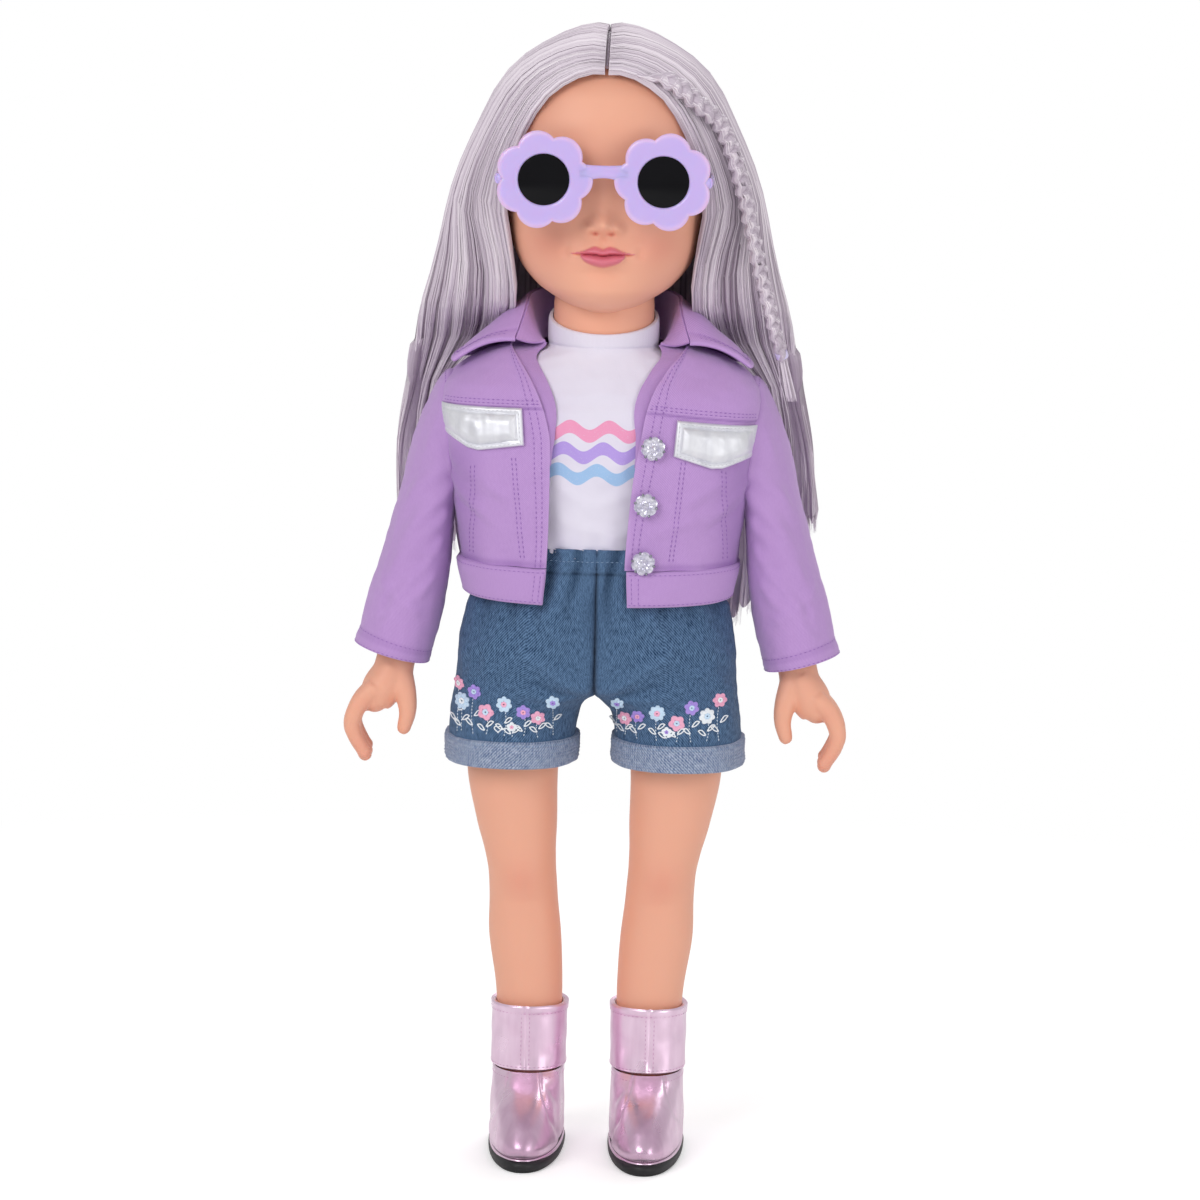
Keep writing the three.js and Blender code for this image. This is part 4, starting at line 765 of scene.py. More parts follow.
def eyeFinish():
    finish, tree, shader, here, _ = newFinish("eyePaint", Roughness=0.12, Coat_Weight=0.6)
    marks = marksIn(tree)
    rays = node(tree, "TexNoise", {"Vector": here, "Scale": 1500.0})
    iris = mixed(rays.outputs[0], rgb("4d8f8f"), rgb("8b6f3c"))
    white = mixed(marks[0], rgb("f4f1ee"), iris)
    joined(shader, Base_Color=mixed(marks[1], white, rgb("0a0808")))
    return finish


def makeEyes():
    paint = eyeFinish()
    for side, label in bothSides[::-1]:
        e = linspace(-pi / 2, pi / 2, 62)[1:-1, None]
        a = turns(48)[None, :]
        p = spread(cos(e) * cos(a), sin(e), cos(e) * sin(a))
        fromFront = np.arccos(clip(-p[..., 1], -1, 1))
        iris = step(0.56, 0.52, fromFront)
        pupil = step(0.26, 0.23, fromFront) + 0.7 * bell(fromFront, 0.54, 0.03)
        centre = array([side * eyes["spread"], -eyes["back"], chinHeight + eyes["rise"]])
        ends = [centre - [0, eyes["radius"], 0], centre + [0, eyes["radius"], 0]]
        made = skinned(centre + p * eyes["radius"], marks=marksOf(p, iris, clip(pupil, 0, 1)), ends=ends)
        made[3][-2] = [1, 1, 0]
        makePiece(label + "_eye_ball", [made], paint, "eyes", [label + "_eye"], 80)


# Sunglasses: seven round petals round each lens, R = D cos(a) + sqrt(r^2 - D^2 sin(a)^2) from a petal's axis
glasses = {
    "rise": 54.8, "spread": 23.6, "lens": 10.3, "reach": 19.5, "petals": 7, "front": -54.5, "thick": 2.6,
    "bridgeUp": 2.6, "bridgeHalf": 9.5, "temple": 41.4, "templeEnd": 8}


def petalRadius(angle, first):
    petal = 0.42 * glasses["reach"]
    away = glasses["reach"] - petal
    span = 2 * pi / glasses["petals"]
    a = (angle - first + span / 2) % span - span / 2
    return away * cos(a) + sqrt(petal ** 2 - (away * sin(a)) ** 2)


def makeGlasses():
    z = chinHeight + glasses["rise"]
    middle = glasses["front"] + glasses["thick"] / 2
    a = turns(7 * 36)[:, None]
    section = curveThrough([[0.04, -0.9], [0.0, 0], [0.04, 0.9], [0.15, 1.22], [0.5, 1.3], [0.8, 1.2],
                            [0.94, 0.85], [1.0, 0],
                            [0.94, -0.85], [0.8, -1.2], [0.5, -1.3], [0.15, -1.22], [0.04, -0.9]], 41)[:-1]
    frameParts = []
    for side in (-1, 1):
        outer = petalRadius(a, 0 if side < 0 else pi)
        r = glasses["lens"] - 0.2 + (outer - glasses["lens"] + 0.2) * section[None, :, 0]
        p = spread(side * glasses["spread"] + r * cos(a), middle + section[None, :, 1], z + r * sin(a))
        rim = step(0.72, 1.0, section[None, :, 0]) + 0 * r
        frameParts.append(form(p, gridWrapped(*p.shape[:2]), None, marksOf(p, 0 * rim, rim)))
        x = linspace(0, 1, 12)
        aside = glasses["temple"] + 1 - 0.6 * (1 - step(0, 0.1, x))
        path = spread(side * aside, middle + x * (glasses["templeEnd"] - middle), z)
        frameParts.append(tube(path, 2.1, 16, flat=0.48, up=(1, 0, 0)))
        frameParts.append(ball([side * (glasses["temple"] - 0.6), middle + 0.9, z], [1.8, 1.7, 2.2]))
    frameParts.append(bridgeForm(middle, z))
    makePiece("sunglasses_flower_frame", frameParts, glassesFinish(), "sunglasses", ["sunglasses_frame"], 50)
    darkLens = lensFinish()
    for side, label in bothSides[::-1]:
        r = linspace(0.4, glasses["lens"] + 0.15, 14)[:, None]
        b = turns(60)[None, :]
        dome = middle - 0.9 + 1.1 * (r / glasses["lens"]) ** 2
        front = spread(side * glasses["spread"] + r * cos(b), dome - 0.3, z + r * sin(b))
        back = front + [0, 1.3, 0]
        rings = concatenate([front, back[::-1]])
        centre = array([side * glasses["spread"], 0, z])
        ends = [centre + [0, middle - 1.2, 0], centre + [0, middle + 0.1, 0]]
        makePiece(label + "_dark_lens", [skinned(rings, ends=ends)], darkLens, "sunglasses",
                  [label + "_lens"], 30)


def bridgeForm(middle, z):  # arched, and taller towards the rims
    half = glasses["bridgeHalf"]
    x = linspace(-half, half, 34)
    path = spread(x, middle - 0.1, z + glasses["bridgeUp"] + 0.9 * cos(x / half * pi / 2))
    bridge = tube(path, 1.0, 20, up=(0, 1, 0))
    around = bridge[0][:-2].reshape(34, 20, 3) - path[:, None]
    around = around * spread(1, 1.25, 2.5 + 1.7 * (abs(x) / half) ** 2.2)[:, None]
    bridge[0][:-2] = (path[:, None] + around).reshape(-1, 3)
    return bridge


def gridWrapped(rows, columns):  # quads of a grid joined in both directions
    r = np.arange(rows)[:, None]
    c = np.arange(columns)[None, :]
    up, along = (r + 1) % rows, (c + 1) % columns
    return spread(r * columns + c, r * columns + along, up * columns + along, up * columns + c).reshape(-1, 4)


def glassesFinish():
    finish, tree, shader, here, _ = newFinish("lilacFrame", Roughness=0.3, Coat_Weight=0.35,
                                              Coat_Roughness=0.1, Subsurface_Weight=0.25,
                                              Subsurface_Scale=0.002)
    marks = marksIn(tree)
    wear = placeGroup(tree, handlingGroup, {"Vector": here, "Broad": 60.0, "Fine": 900.0})
    body = mixed(times(wear["Patches"], 0.3), rgb("cdb7f0"), rgb("c0a9e8"))
    joined(shader, Base_Color=mixed(times(marks[1], 0.75), body, rgb("ecc6ea")))
    return finish


def lensFinish():
    finish, tree, shader, here, _ = newFinish("darkLens", Roughness=0.1, Specular_IOR_Level=0.16)
    smear = node(tree, "TexNoise", {"Vector": here, "Scale": 120.0, "Detail": 3.0})
    joined(shader, Base_Color=mixed(smear.outputs[0], rgb("060608"), rgb("0d0c11")),
           Roughness=timesPlus(smear.outputs[0], 0.1, 0.03))
    return finish


makeHead()
makeEyes()
makeGlasses()
print("stage: head and sunglasses")


# Legs: ovals about a centre line that leans outwards going up; the mirror image makes the other leg
legShape = through([
    [8, 10.6, 22, 14], [14, 11, 11, 14], [30, 12, 12.5, 14], [48, 13, 12.8, 13.8], [66, 13.7, 13.6, 14.8],
    [88, 14.8, 14, 16.2], [104, 14, 14.6, 14.6], [113, 13.9, 15.4, 14.2], [122, 14.6, 15.2, 14.6],
    [134, 16.4, 16.6, 16], [157, 18.6, 18.4, 18.2], [180, 19.5, 19.5, 19.5], [206, 19.5, 19.5, 19.5]])
legLean = through([
    [8, 24.5], [14, 24.5], [60, 24.7], [90, 27.2], [111, 28.4], [134, 31.2], [157, 33.4], [180, 31.5],
    [206, 29]])
footShape = through([
    [0, 14.2, 53.4, 19.6], [1.5, 15, 55.8, 20.6], [4, 15.2, 57, 21], [10, 15.2, 53, 21],
    [16, 15, 46.5, 20.4], [22, 14.8, 35, 19.8], [28, 14.8, 20.5, 19.4]])
shaftShape = through([
    [31, 15.2, 18.4, 19.2], [36, 15.5, 17.6, 18.9], [46.5, 15.5, 17.1, 18.5], [55, 15.6, 17, 18.6],
    [60, 15.8, 17.3, 18.9]])
boot = {
    "centre": 24.5, "sole": 5, "seam": 33, "top": 60, "wall": 1.4, "power": 2.2, "panelTop": 6.2,
    "panelFoot": 14.8, "seamAside": 1.0}


def makeLegs():
    a = turns(80)[None, :]
    z = concatenate([linspace(14, 206, 110), 206 + 19 * sin(linspace(0.1, 1.5, 12))])[:, None]
    w, f, b = halves(legShape(z[:, 0]))
    over = sqrt(clip(1 - (clip(z - 206, 0, 19) / 19.5) ** 2, 0.01, 1))
    x, y = oval(a, w * over, f * over, b * over, 2.05)
    x = maximum(x + legLean(z[:, 0]), 9.95)
    front = bell((a - 1.5 * pi + pi) % (2 * pi), pi, 0.55)
    y = y - front * (0.8 * bell(z, 114, 7) - 0.5 * bell(z, 103, 2.2))
    blush = 0.3 * front * bell(z, 112, 9)
    shank = spread(x, y, z)
    level = linspace(8.2, 28, 14)[:, None]
    w, f, b = halves(footShape(level[:, 0] - boot["sole"]))
    fx, fy = oval(a, w - 2.4, f - 6, b - 2.4, 2.2)
    leg = [skinned(shank, marks=marksOf(shank, 0, blush, 0)), skinned(spread(fx + boot["centre"], fy, level))]
    makePair("leg_skin", leg, vinylSkin, "leg", "leg", 70)


def bootGrid(plans, z, columns):
    return ovalGrid(plans, z, columns, boot["power"], boot["centre"])


bootFolds = {
    "vamp": [[(14, -26, 26), (34, -26, 26), 2.6, -0.7], [(13, -38, 18), (20, -46, 13), 2.4, -0.35],
             [(36, -36, 17), (30, -45, 12), 2.2, -0.3]],
    "shaft": [[(12, -16, 40), (26, -18, 38), 3.2, -0.35], [(36, -12, 50), (30, -16, 47), 3, -0.3],
              [(37, 0, 44), (33, 12, 38), 2.2, -0.5], [(11, 0, 42), (16, 12, 37), 2.2, -0.5]]}
bootThread = (1.9, 1.35, 0.16)


def fromSeam(grid):  # how far points lie beside the boot's front seam, and their height
    return grid[..., 0] - boot["centre"] - boot["seamAside"], grid[..., 2]


def vampForm():  # the foot of the boot, with a raised toe panel
    seam = boot["seam"]
    z = concatenate([[3.7, 4.0], linspace(4.5, seam - 0.6, 62), [seam - 0.25, seam]])
    grid = bootGrid(footShape(maximum(z - boot["sole"], 0)), z, 170)
    x, height = fromSeam(grid)
    edge = boot["panelTop"] + (boot["panelFoot"] - boot["panelTop"]) * step(33, 6, height) ** 0.8
    ahead = step(2, -6, grid[..., 1])
    panel = step(0.35, -0.35, abs(x) - edge) * ahead
    seamLine = bell(abs(x), edge, 0.55) * ahead
    rounded = step(5.2, 3.6, height) + 0.7 * step(seam - 0.8, seam + 0.2, height)
    d = 0.45 * panel - 0.5 * seamLine + creases(grid, bootFolds["vamp"])
    d = d + 0.35 * ripple(grid, 17, 3) * step(5, 12, height) - rounded
    grid = grid + outward(grid, True) * d[..., None]
    # shade: painted shade over the toe panel and a painted dark reflection in its middle
    shade = 0.08 * panel + 0.4 * panel * step(10, 4, abs(x)) * step(30, 16, height) * step(4, 9, height)
    return cloth(grid, boot["wall"], True, (160, 40), marksOf(grid, shade, seamLine))


def shaftForm():
    seam, top = boot["seam"], boot["top"]
    z = concatenate([[seam + 0.05, seam + 0.2], linspace(seam + 0.6, top - 0.7, 40),
                     [top - 0.35, top - 0.1, top]])
    grid = bootGrid(shaftShape(z), z, 150)
    x, height = fromSeam(grid)
    seamLine = bell(x, 0, 0.55) * step(2, -6, grid[..., 1])
    rim = 0.9 * step(seam + 0.7, seam, height) + 0.5 * step(top - 0.6, top, height)
    d = -0.5 * seamLine - rim + 0.25 * step(top - 3.4, top - 3, height)
    d = d + creases(grid, bootFolds["shaft"]) + 0.3 * ripple(grid, 14, 5)
    grid = grid + outward(grid, True) * d[..., None]
    return cloth(grid, boot["wall"], True, (110, 30), marksOf(grid, 0, seamLine))


def liningForm():
    z = array([52, 59.4])
    return cloth(bootGrid(shaftShape(z) - [boot["wall"] + 0.1] * 3, z, 100), 0.4, True)


def soleForm():
    z = array([0, 0.4, 1.0, 2.2, 3.2, 3.7, 4.4])
    bevel = array([1.1, 0.5, 0.2, 0.1, 0.2, 0.5, 1.4])
    return skinned(bootGrid(stack([15.8 - bevel, 57.7 - bevel, 21.7 - bevel], -1), z, 160))


def weltForm():  # a rounded cord round the foot, just above the sole
    grid = bootGrid(footShape(np.full(9, 0.6)) + 0.75, linspace(3.1, 5.0, 9), 160)
    lift = 0.45 * pillow(linspace(0, 1, 9), 2) - 0.3
    return cloth(grid + outward(grid, True) * lift[:, None, None], 1.0, True)


def tabForm():  # the closing tab behind, with pressed edges
    v = linspace(0, 1, 16)[:, None]
    u = linspace(-1, 1, 18)[None, :]
    w, _, b = halves(shaftShape(linspace(40.6, 52.6, 16)))
    y = b * (1 - (abs(7 * u) / w) ** 2.2) ** (1 / 2.2) + 1.0
    y = y + 0.5 * (1 - maximum(abs(u), abs(2 * v - 1)) ** 6)
    tab = spread(boot["centre"] + 7 * u, y, 40.6 + 12 * v)[:, ::-1]
    return shell(tab, tab - [0, 1.1, 0])


def bootStitching():
    rows = []
    z = linspace(boot["seam"] + 2, boot["top"] - 3, 40)
    w, f, _ = np.moveaxis(shaftShape(z), -1, 0)
    for aside in (-1.7, 1.7):
        x = boot["seamAside"] + aside
        y = -f * (1 - (abs(x) / w) ** 2.2) ** (1 / 2.2) - 0.1
        rows.append(stitches(spread(boot["centre"] + x, y, z), np.tile([0, -1.0, 0], (40, 1)), *bootThread,
                             0.1))
    a = linspace(0, 2 * pi, 161)
    for level, plan in ((boot["seam"] + 1.6, shaftShape), (boot["top"] - 3.2, shaftShape),
                        (boot["seam"] - 2, lambda z: footShape(z - boot["sole"]))):
        x, y = oval(a, *plan(array([level]))[0], boot["power"])
        rows.append(stitches(spread(x + boot["centre"], y, level), spread(x, y, 0), *bootThread, 0.2))
    return rows


def makeBoots():
    parts = {"vamp": [vampForm()], "shaft": [shaftForm()], "sole": [soleForm()], "tab": [tabForm()],
             "lining": [liningForm()], "welt": [weltForm()], "stitching": bootStitching()}
    finishes = {"sole": blackRubber, "lining": paleLining, "stitching": pinkThread}
    for part, made in parts.items():
        replaced = "boot_" + part if part in ("vamp", "shaft", "sole", "tab") else None
        makePair(f"boot_{part}_piece", made, finishes.get(part, pinkFoil), "leg", replaced, 45)


paleLining = plasticFinish("paleLining", "eee0ea", "dccbd8", 0.8)
pinkThread = plasticFinish("pinkThread", "d9a8cd", "c794bb", 0.6)
makeLegs()
makeBoots()
print("stage: legs and boots")


# Arms: soft limbs joined into one skin, which is then rebuilt as even small squares and smoothed
arm = {"face": 52.0, "square": 0.75, "smooth": 5, "fingerPitch": 5.3, "finger": 3.75}


def limbTube(points, sides=18, count=26):
    path = curveThrough(points, count)
    return tube(path[:, :3], path[:, 3], sides, up=(0, 1, 0.02))


def makeArms():
    x = array([0, 8, 16, 22.2, 25, 28, 31.5, 34.5]) + arm["face"] - 0.5
    upper = [[x[1] - 1.5, 0, 296, 10], [x[1] + 2.5, 0, 284, 7.6], [x[1] + 7.5, 0, 271, 7.2],
             [x[2] + 4, -0.5, 250, 7.6], [x[3] + 2, -1.5, 226, 8.2],
             [x[6] - 1.2, -2.5, 201, 8], [x[6] + 0.4, -3, 192, 8.6]]
    forms = [ball([x[1] - 2, 0, 296], [10.5, 11.5, 11.5], 24, 16), limbTube(upper, 24, 60),
             ball([x[6] + 0.4, -3, 191], [8.6, 8.4, 8], 20, 12)]
    palm = [[x[6] - 0.4, -3, 199, 7.6], [x[6] + 2.4, -2.5, 192, 9.2], [x[6] + 5.2, -2.5, 187, 9.4],
            [x[6] + 7.2, -2.5, 183.5, 8.2]]
    path = curveThrough(palm, 22)
    made = tube(path[:, :3], path[:, 3], 24, up=(0, 1, 0))
    around = made[0][:-2].reshape(22, 24, 3) - path[:, None, :3]
    made[0][:-2] = (path[:, None, :3] + around * [0.82, 1.12, 1]).reshape(-1, 3)
    forms.append(made)
    forms.append(ball(path[-1, :3], [5.6, 9.8, 5.4], 20, 12))
    for i in range(4):
        y = -2.5 + (i - 1.5) * arm["fingerPitch"]
        short = abs(i - 1.3) * 1.6
        r = arm["finger"] - (0.35 if i == 3 else 0)
        joints = [[x[6] + 6.6, y * 0.92, 189.5, r + 0.3], [x[6] + 12.8, y, 183, r + 0.1],
                  [x[6] + 15.9, y, 175.5, r - 0.2], [x[6] + 15, y, 168 + short, r - 0.6],
                  [x[6] + 10.8, y * 0.97, 160.6 + short, r - 1.1]]
        forms += [limbTube(joints, 16, 30), ball(joints[-1][:3], [r - 0.7] * 3, 14, 10)]
    thumb = [[x[6] - 2.6, -5, 194, 6], [x[6] - 5.6, -8, 186.5, 4.6], [x[6] - 6.6, -9.4, 179.5, 3.6],
             [x[6] - 5.2, -9.4, 173, 2.9]]
    forms += [limbTube(thumb, 16, 24), ball(thumb[-1][:3], [2.9] * 3, 14, 10)]
    points, faces = rebuilt(makePiece("arm_raw", forms, vinylSkin))
    points[:, 0] = maximum(points[:, 0], arm["face"])
    marks = np.zeros((len(points), 3))
    knuckles = nearLine(points, [x[6] + 12, -12, 183], [x[6] + 12, 8, 183], 4)
    marks[:, 1] = 0.28 * step(178, 160, points[:, 2]) + 0.15 * knuckles
    makePair("arm_skin", [form(points, faces, None, marks)], vinylSkin, "arm", "arm", 80)


def rebuilt(raw):  # the points and faces of a piece made anew as one skin; the piece itself is removed
    rebuild = raw.modifiers.new("rebuild", "REMESH")
    rebuild.mode, rebuild.voxel_size, rebuild.use_smooth_shade = "VOXEL", arm["square"] * mm, True
    soften = raw.modifiers.new("soften", "SMOOTH")
    soften.factor, soften.iterations = 0.6, arm["smooth"]
    evaluated = raw.evaluated_get(bpy.context.evaluated_depsgraph_get()).to_mesh()
    points = np.zeros(len(evaluated.vertices) * 3, np.float32)
    evaluated.vertices.foreach_get("co", points)
    points = points.reshape(-1, 3) / mm
    faces = np.full((len(evaluated.polygons), 4), -1)
    total, start = np.zeros(len(faces), np.int32), np.zeros(len(faces), np.int32)
    evaluated.polygons.foreach_get("loop_total", total)
    evaluated.polygons.foreach_get("loop_start", start)
    corner = np.zeros(len(evaluated.loops), np.int32)
    evaluated.loops.foreach_get("vertex_index", corner)
    for k in range(4):
        has = total > k
        faces[has, k] = corner[start[has] + k]
    bpy.data.objects.remove(raw, do_unlink=True)
    return points, faces


makeArms()
print("stage: arms")


# The stuffed body and the tee over it: ovals by height, pressed flat at the sides where the arms turn
torsoShape = through([
    [197.5, 20, 13, 14], [203, 38, 21, 23], [212, 46, 27, 29], [226, 48.5, 30.3, 31],
    [243, 45.5, 29.8, 29.5], [262, 46.5, 31.5, 30], [282, 51, 34, 32], [300, 53, 33, 32],
    [312, 50, 29, 29.5], [320, 41, 25, 26], [326.5, 29, 21.5, 22.5], [331, 20.3, 20.3, 20.3]])
tee = {
    "hem": 246.6, "top": 331.2, "power": 2.3, "grow": 1.75, "wall": 1.1,
    "bands": ("f29ac0", "b79be6", "9fc4ec"), "bandTop": 299, "bandStep": 8.6}


def makeTorso():
    z = linspace(198, 331, 60)
    grid = ovalGrid(torsoShape(z) - 0.3, z, 90, tee["power"])
    grid[..., 0] = clip(grid[..., 0], -51.2, 51.2)
    piece = makePiece("stuffed_torso", [skinned(grid)], bodyCloth, "torso", ["torso"])


teePulls = [
    [(-17, -36, 300), (0, -36, 284), 3.2, 0.8], [(17, -36, 298), (2, -36, 280), 3, 0.7],
    [(-14, -34, 262), (10, -34, 256), 2.6, 0.6], [(-3, -36, 268), (15, -34, 274), 2.6, 0.5],
    [(-18, -36, 277), (-6, -35, 270), 2.4, 0.6], [(-8, -34, 318), (-13, -36, 300), 2.6, 0.5],
    [(10, -33, 318), (14, -36, 300), 2.6, 0.5], [(0, -35, 252), (18, -34, 262), 2.4, 0.5]]


def makeTee():
    z = concatenate([[tee["hem"], tee["hem"] + 0.3], linspace(tee["hem"] + 0.7, tee["top"], 90)])
    grid = ovalGrid(torsoShape(z) + tee["grow"], z, 240, tee["power"])
    out = outward(grid, True)
    x, y, height = grid[..., 0], grid[..., 1], grid[..., 2]
    front = step(4, -8, y)
    waves = sin(x / 2.3 + 1.2 * sin(height / 7))
    gathers = 0.45 * waves * step(262, 247, height) * front
    d = creases(grid, teePulls) * front + gathers + 0.55 * ripple(grid, 26, 11) + 0.2 * ripple(grid, 9, 12)
    d = d - 0.35 * bell(height, 251.2, 0.35) - 0.8 * step(247.4, 246.6, height)
    d = where(abs(x) > 49.5, minimum(d, 0), d)
    grid = grid + out * d[..., None]
    grid[..., 0] = clip(grid[..., 0], -51.7, 51.7)
    # shade: painted shade in the gathers above the hem
    shade = 0.3 * step(262, 247, height) * abs(waves)
    body = cloth(grid, tee["wall"], True, (300, 84), marksOf(grid, shade))
    makePiece("tee_body", [body], jerseyFinish(True), "torso", ["tee"], 60)
    angle = turns(240)
    v = linspace(0, 1, 18)[:, None]
    top = minimum(345.4, 342.6 + 22.6 * sin(angle) * 0.26)[None, :]
    height = 330.3 + (top - 330.3) * v
    r = 21.9 + 0.55 * pillow(v, 4) + 0.09 * cos(angle * 80)[None, :] - 0.25 * bell(v, 0.12, 0.05)
    band = spread(r * cos(angle), r * sin(angle), height)
    inner = spread(20.75 * cos(angle), 20.75 * sin(angle), height)
    makePiece("tee_ribbed_neckband", [shell(band, inner, True, (140, 14))], jerseyFinish(False), "torso",
              ["tee_neckband"], 60)
    rows = []
    for level in (249.6, 250.6):
        at = array([level])
        ring = ovalGrid(torsoShape(at) + (tee["grow"] + 0.3), at, 240, tee["power"])[0]
        rows.append(stitches(ring, ring * [1, 1, 0], 1.9, 1.3, 0.14, 0))
    makePiece("tee_hem_stitching", rows, whiteThread, "torso")


# Jersey: fine knit ribs; on the tee's front three wavy printed bands, with cracks where the ink is thin
def jerseyFinish(printed):
    finish, tree, shader, here, _ = newFinish("jerseyPrinted" if printed else "jerseyPlain", Roughness=0.9,
                                              Sheen_Weight=0.3, Specular_IOR_Level=0.2)
    marks = marksIn(tree)
    parts = node(tree, "SeparateXYZ", {0: here}).outputs
    knit = times(maths("SINE", times(parts[0], 9000.0)), maths("SINE", times(parts[2], 7000.0)))
    wear = placeGroup(tree, handlingGroup, {"Vector": here, "Broad": 45.0, "Fine": 2600.0})
    # marks 0 is painted shade in the tee's gathers, mixed with random patches
    colour = mixed(timesPlus(wear["Patches"], 0.25, marks[0]), rgb("eae5f2"), rgb("c9bfdd"))
    if printed:
        ahead = node(tree, "Math", {0: parts[1], 1: -0.02}, operation="LESS_THAN").outputs[0]
        for i, band in enumerate(tee["bands"]):
            wave = times(maths("SINE", timesPlus(parts[0], 400.0, 0.9 * i)), 0.0019)
            level = (tee["bandTop"] - tee["bandStep"] * i) * mm
            fromBand = maths("ABSOLUTE", minus(minus(parts[2], level), wave))
            inside = clamped(timesPlus(fromBand, -6000.0, 16.0))
            cracked = maths("GREATER_THAN", wear["Dust"], 0.34)
            share = times(times(inside, ahead), timesPlus(cracked, 0.35, 0.6))
            colour = mixed(share, colour, rgb(band))
    joined(shader, Base_Color=colour)
    bumped(shader, timesPlus(knit, 0.5, wear["Dust"]), 0.25, 0.0002)
    return finish


# The jacket's body: one cloth from the right opening edge round the back to the left one
jacketShape = through([
    [225, 53, 37, 35.5], [245, 56, 38.3, 36.5], [262, 58.8, 39.5, 37.6], [280, 61.2, 39.8, 38.4],
    [296, 64, 38.8, 38], [307, 65.3, 36.4, 36], [314.5, 63.6, 33.6, 33.6], [321, 58, 30, 30.4],
    [327, 47.5, 27, 27.6], [331.5, 35.5, 25.2, 25.6], [338, 28, 24.2, 24.8]])
# where the two front edges stand from the middle, by height
openRight = through([
    [229, -21.6], [243, -20.4], [262, -19.6], [280, -19.4], [294, -19.6], [303, -21.2], [311, -24],
    [318, -27.6], [326, -33], [336, -39.5]])
openLeft = through([
    [229, 12], [243, 11.4], [262, 12.4], [276, 13.6], [288, 15.2], [297, 16.8], [306, 18.4], [314, 21],
    [323, 26.4], [336, 35.5]])
jacket = {
    "power": 2.6, "boxy": 1.0, "wall": 1.5, "hem": 231, "bandTop": 244.5, "droop": 2.5, "top": 336,
    "yoke": 308.2, "armhole": 296}


def jacketPower(z):  # squarer at the chest than at the hem and the collar
    return jacket["power"] + jacket["boxy"] * step(252, 288, z) * step(324, 310, z)


def jacketGrid(z, columns, grow=0.0):
    w, f, b = halves(jacketShape(z) + grow)
    right, left = openRight(z), openLeft(z)
    q = jacketPower(z)[:, None] / 2
    aRight = np.arcsin(clip(abs(right) / w, 0, 0.999) ** q)
    aLeft = np.arcsin(clip(abs(left) / w, 0, 0.999) ** q)
    t = linspace(0, 1, columns)[None, :]
    a = -pi / 2 - aRight - t * (2 * pi - aRight - aLeft)
    c, s = cos(a), sin(a)
    x = w * np.sign(c) * abs(c) ** (1 / q)
    y = where(s < 0, f, b) * np.sign(s) * abs(s) ** (1 / q)
    return spread(x, y, z[:, None])


def armholeLimit(z):  # how far out the sides may stand before the sleeve
    return 57.3 + clip(z - 271, 0, 60) * 0.13


def yokeHeight(x):  # level on the right side, dropping outwards on the left
    return jacket["yoke"] - 0.085 * clip(x - 12, 0, 60)


def jacketFront(x, z, grow=0.0):  # how far forward the plain front stands at x and z
    w, f, _ = np.moveaxis(jacketShape(np.asarray(z, float)) + grow, -1, 0)
    power = jacketPower(np.asarray(z, float))
    return -f * clip(1 - clip(abs(x) / w, 0, 1) ** power, 0, 1) ** (1 / power)


def onBothSides(rows):  # soft folds of the right side, then the same on the left
    return [[(side * a[0], *a[1:]), (side * b[0], *b[1:]), width, out]
            for side in (-1, 1) for a, b, width, out in rows]


jacketFolds = onBothSides([
    [(57, -24, 287), (38, -38, 272), 2.6, 1], [(58, -20, 279), (44, -36, 260), 2.8, 0.9],
    [(56, -22, 268), (40, -38, 255), 2.4, -0.6], [(56, 24, 285), (36, 37, 268), 3, 0.9],
    [(50, 30, 262), (26, 38, 252), 2.6, 0.7]])
jacketFolds += [
    [(-24, -39, 262), (-46, -36, 250), 2.2, 0.5], [(22, -40, 258), (50, -33, 268), 2.4, 0.6],
    [(-10, 38, 300), (12, 38, 262), 3.5, 0.6], [(-22, -40, 285), (-34, -40, 276), 2.2, 0.45]]


def makeJacket():
    columns = 310
    z = linspace(243.6, jacket["top"], 140)
    grid = jacketGrid(z, columns)
    out = -outward(grid)
    x, y, height = np.moveaxis(grid, -1, 0)
    aboveYoke = height - yokeHeight(x)
    edge = toEnds(columns) * 1.1
    gathers = 0.5 * sin(x / 2.6 + sin(height / 5)) * exp(-clip(height - jacket["bandTop"], 0, 50) / 4.5)
    d = 0.6 * step(-0.7, 0.3, aboveYoke) + creases(grid, jacketFolds) * step(303, 297, height) + gathers
    d = d - 0.5 * bell(y, 3, 0.5) * step(300, 290, height)
    d = d + 0.5 * ripple(grid, 30, 21) + 0.16 * ripple(grid, 8, 22)
    d = d + 0.35 * step(0.2, 1.1, edge) * step(5, 4.3, edge)
    grid = grid + out * d[..., None]
    inHole = step(24.5, 21.5, np.hypot(y, height - jacket["armhole"]))
    limit = armholeLimit(height) + 9 * (1 - inHole)
    grid[..., 0] = where(inHole > 0, clip(grid[..., 0], -limit, limit), grid[..., 0])
    # shade: painted shade in the yoke seam, along the top edge of the waistband and towards the sides under
    # the arms; the second mark lightens the worn front edges and the ridge above the yoke seam
    shade = 0.7 * bell(aboveYoke, -0.5, 0.5) + 0.35 * bell(height, 245, 1.2)
    shade = shade + 0.45 * step(42, 58, abs(x)) * step(302, 285, height)
    wearAndPaintedLight = 0.5 * step(1.1, 0.2, edge) + 0.35 * bell(aboveYoke, 0.4, 0.4)
    outer, marks = grid[:, ::-1], marksOf(grid, shade, wearAndPaintedLight)[:, ::-1]
    body = shell(outer, outer - (out * jacket["wall"])[:, ::-1], False, (330, 92), marks)
    fronts = ["jacket_back", "jacket_left_front", "jacket_right_front"]
    makePiece("jacket_body", [body], lilacTwill, "torso", fronts, 50)
    makePiece("jacket_topstitching", jacketStitching(z, grid, out), lilacThread, "torso")
    makeWaistband()


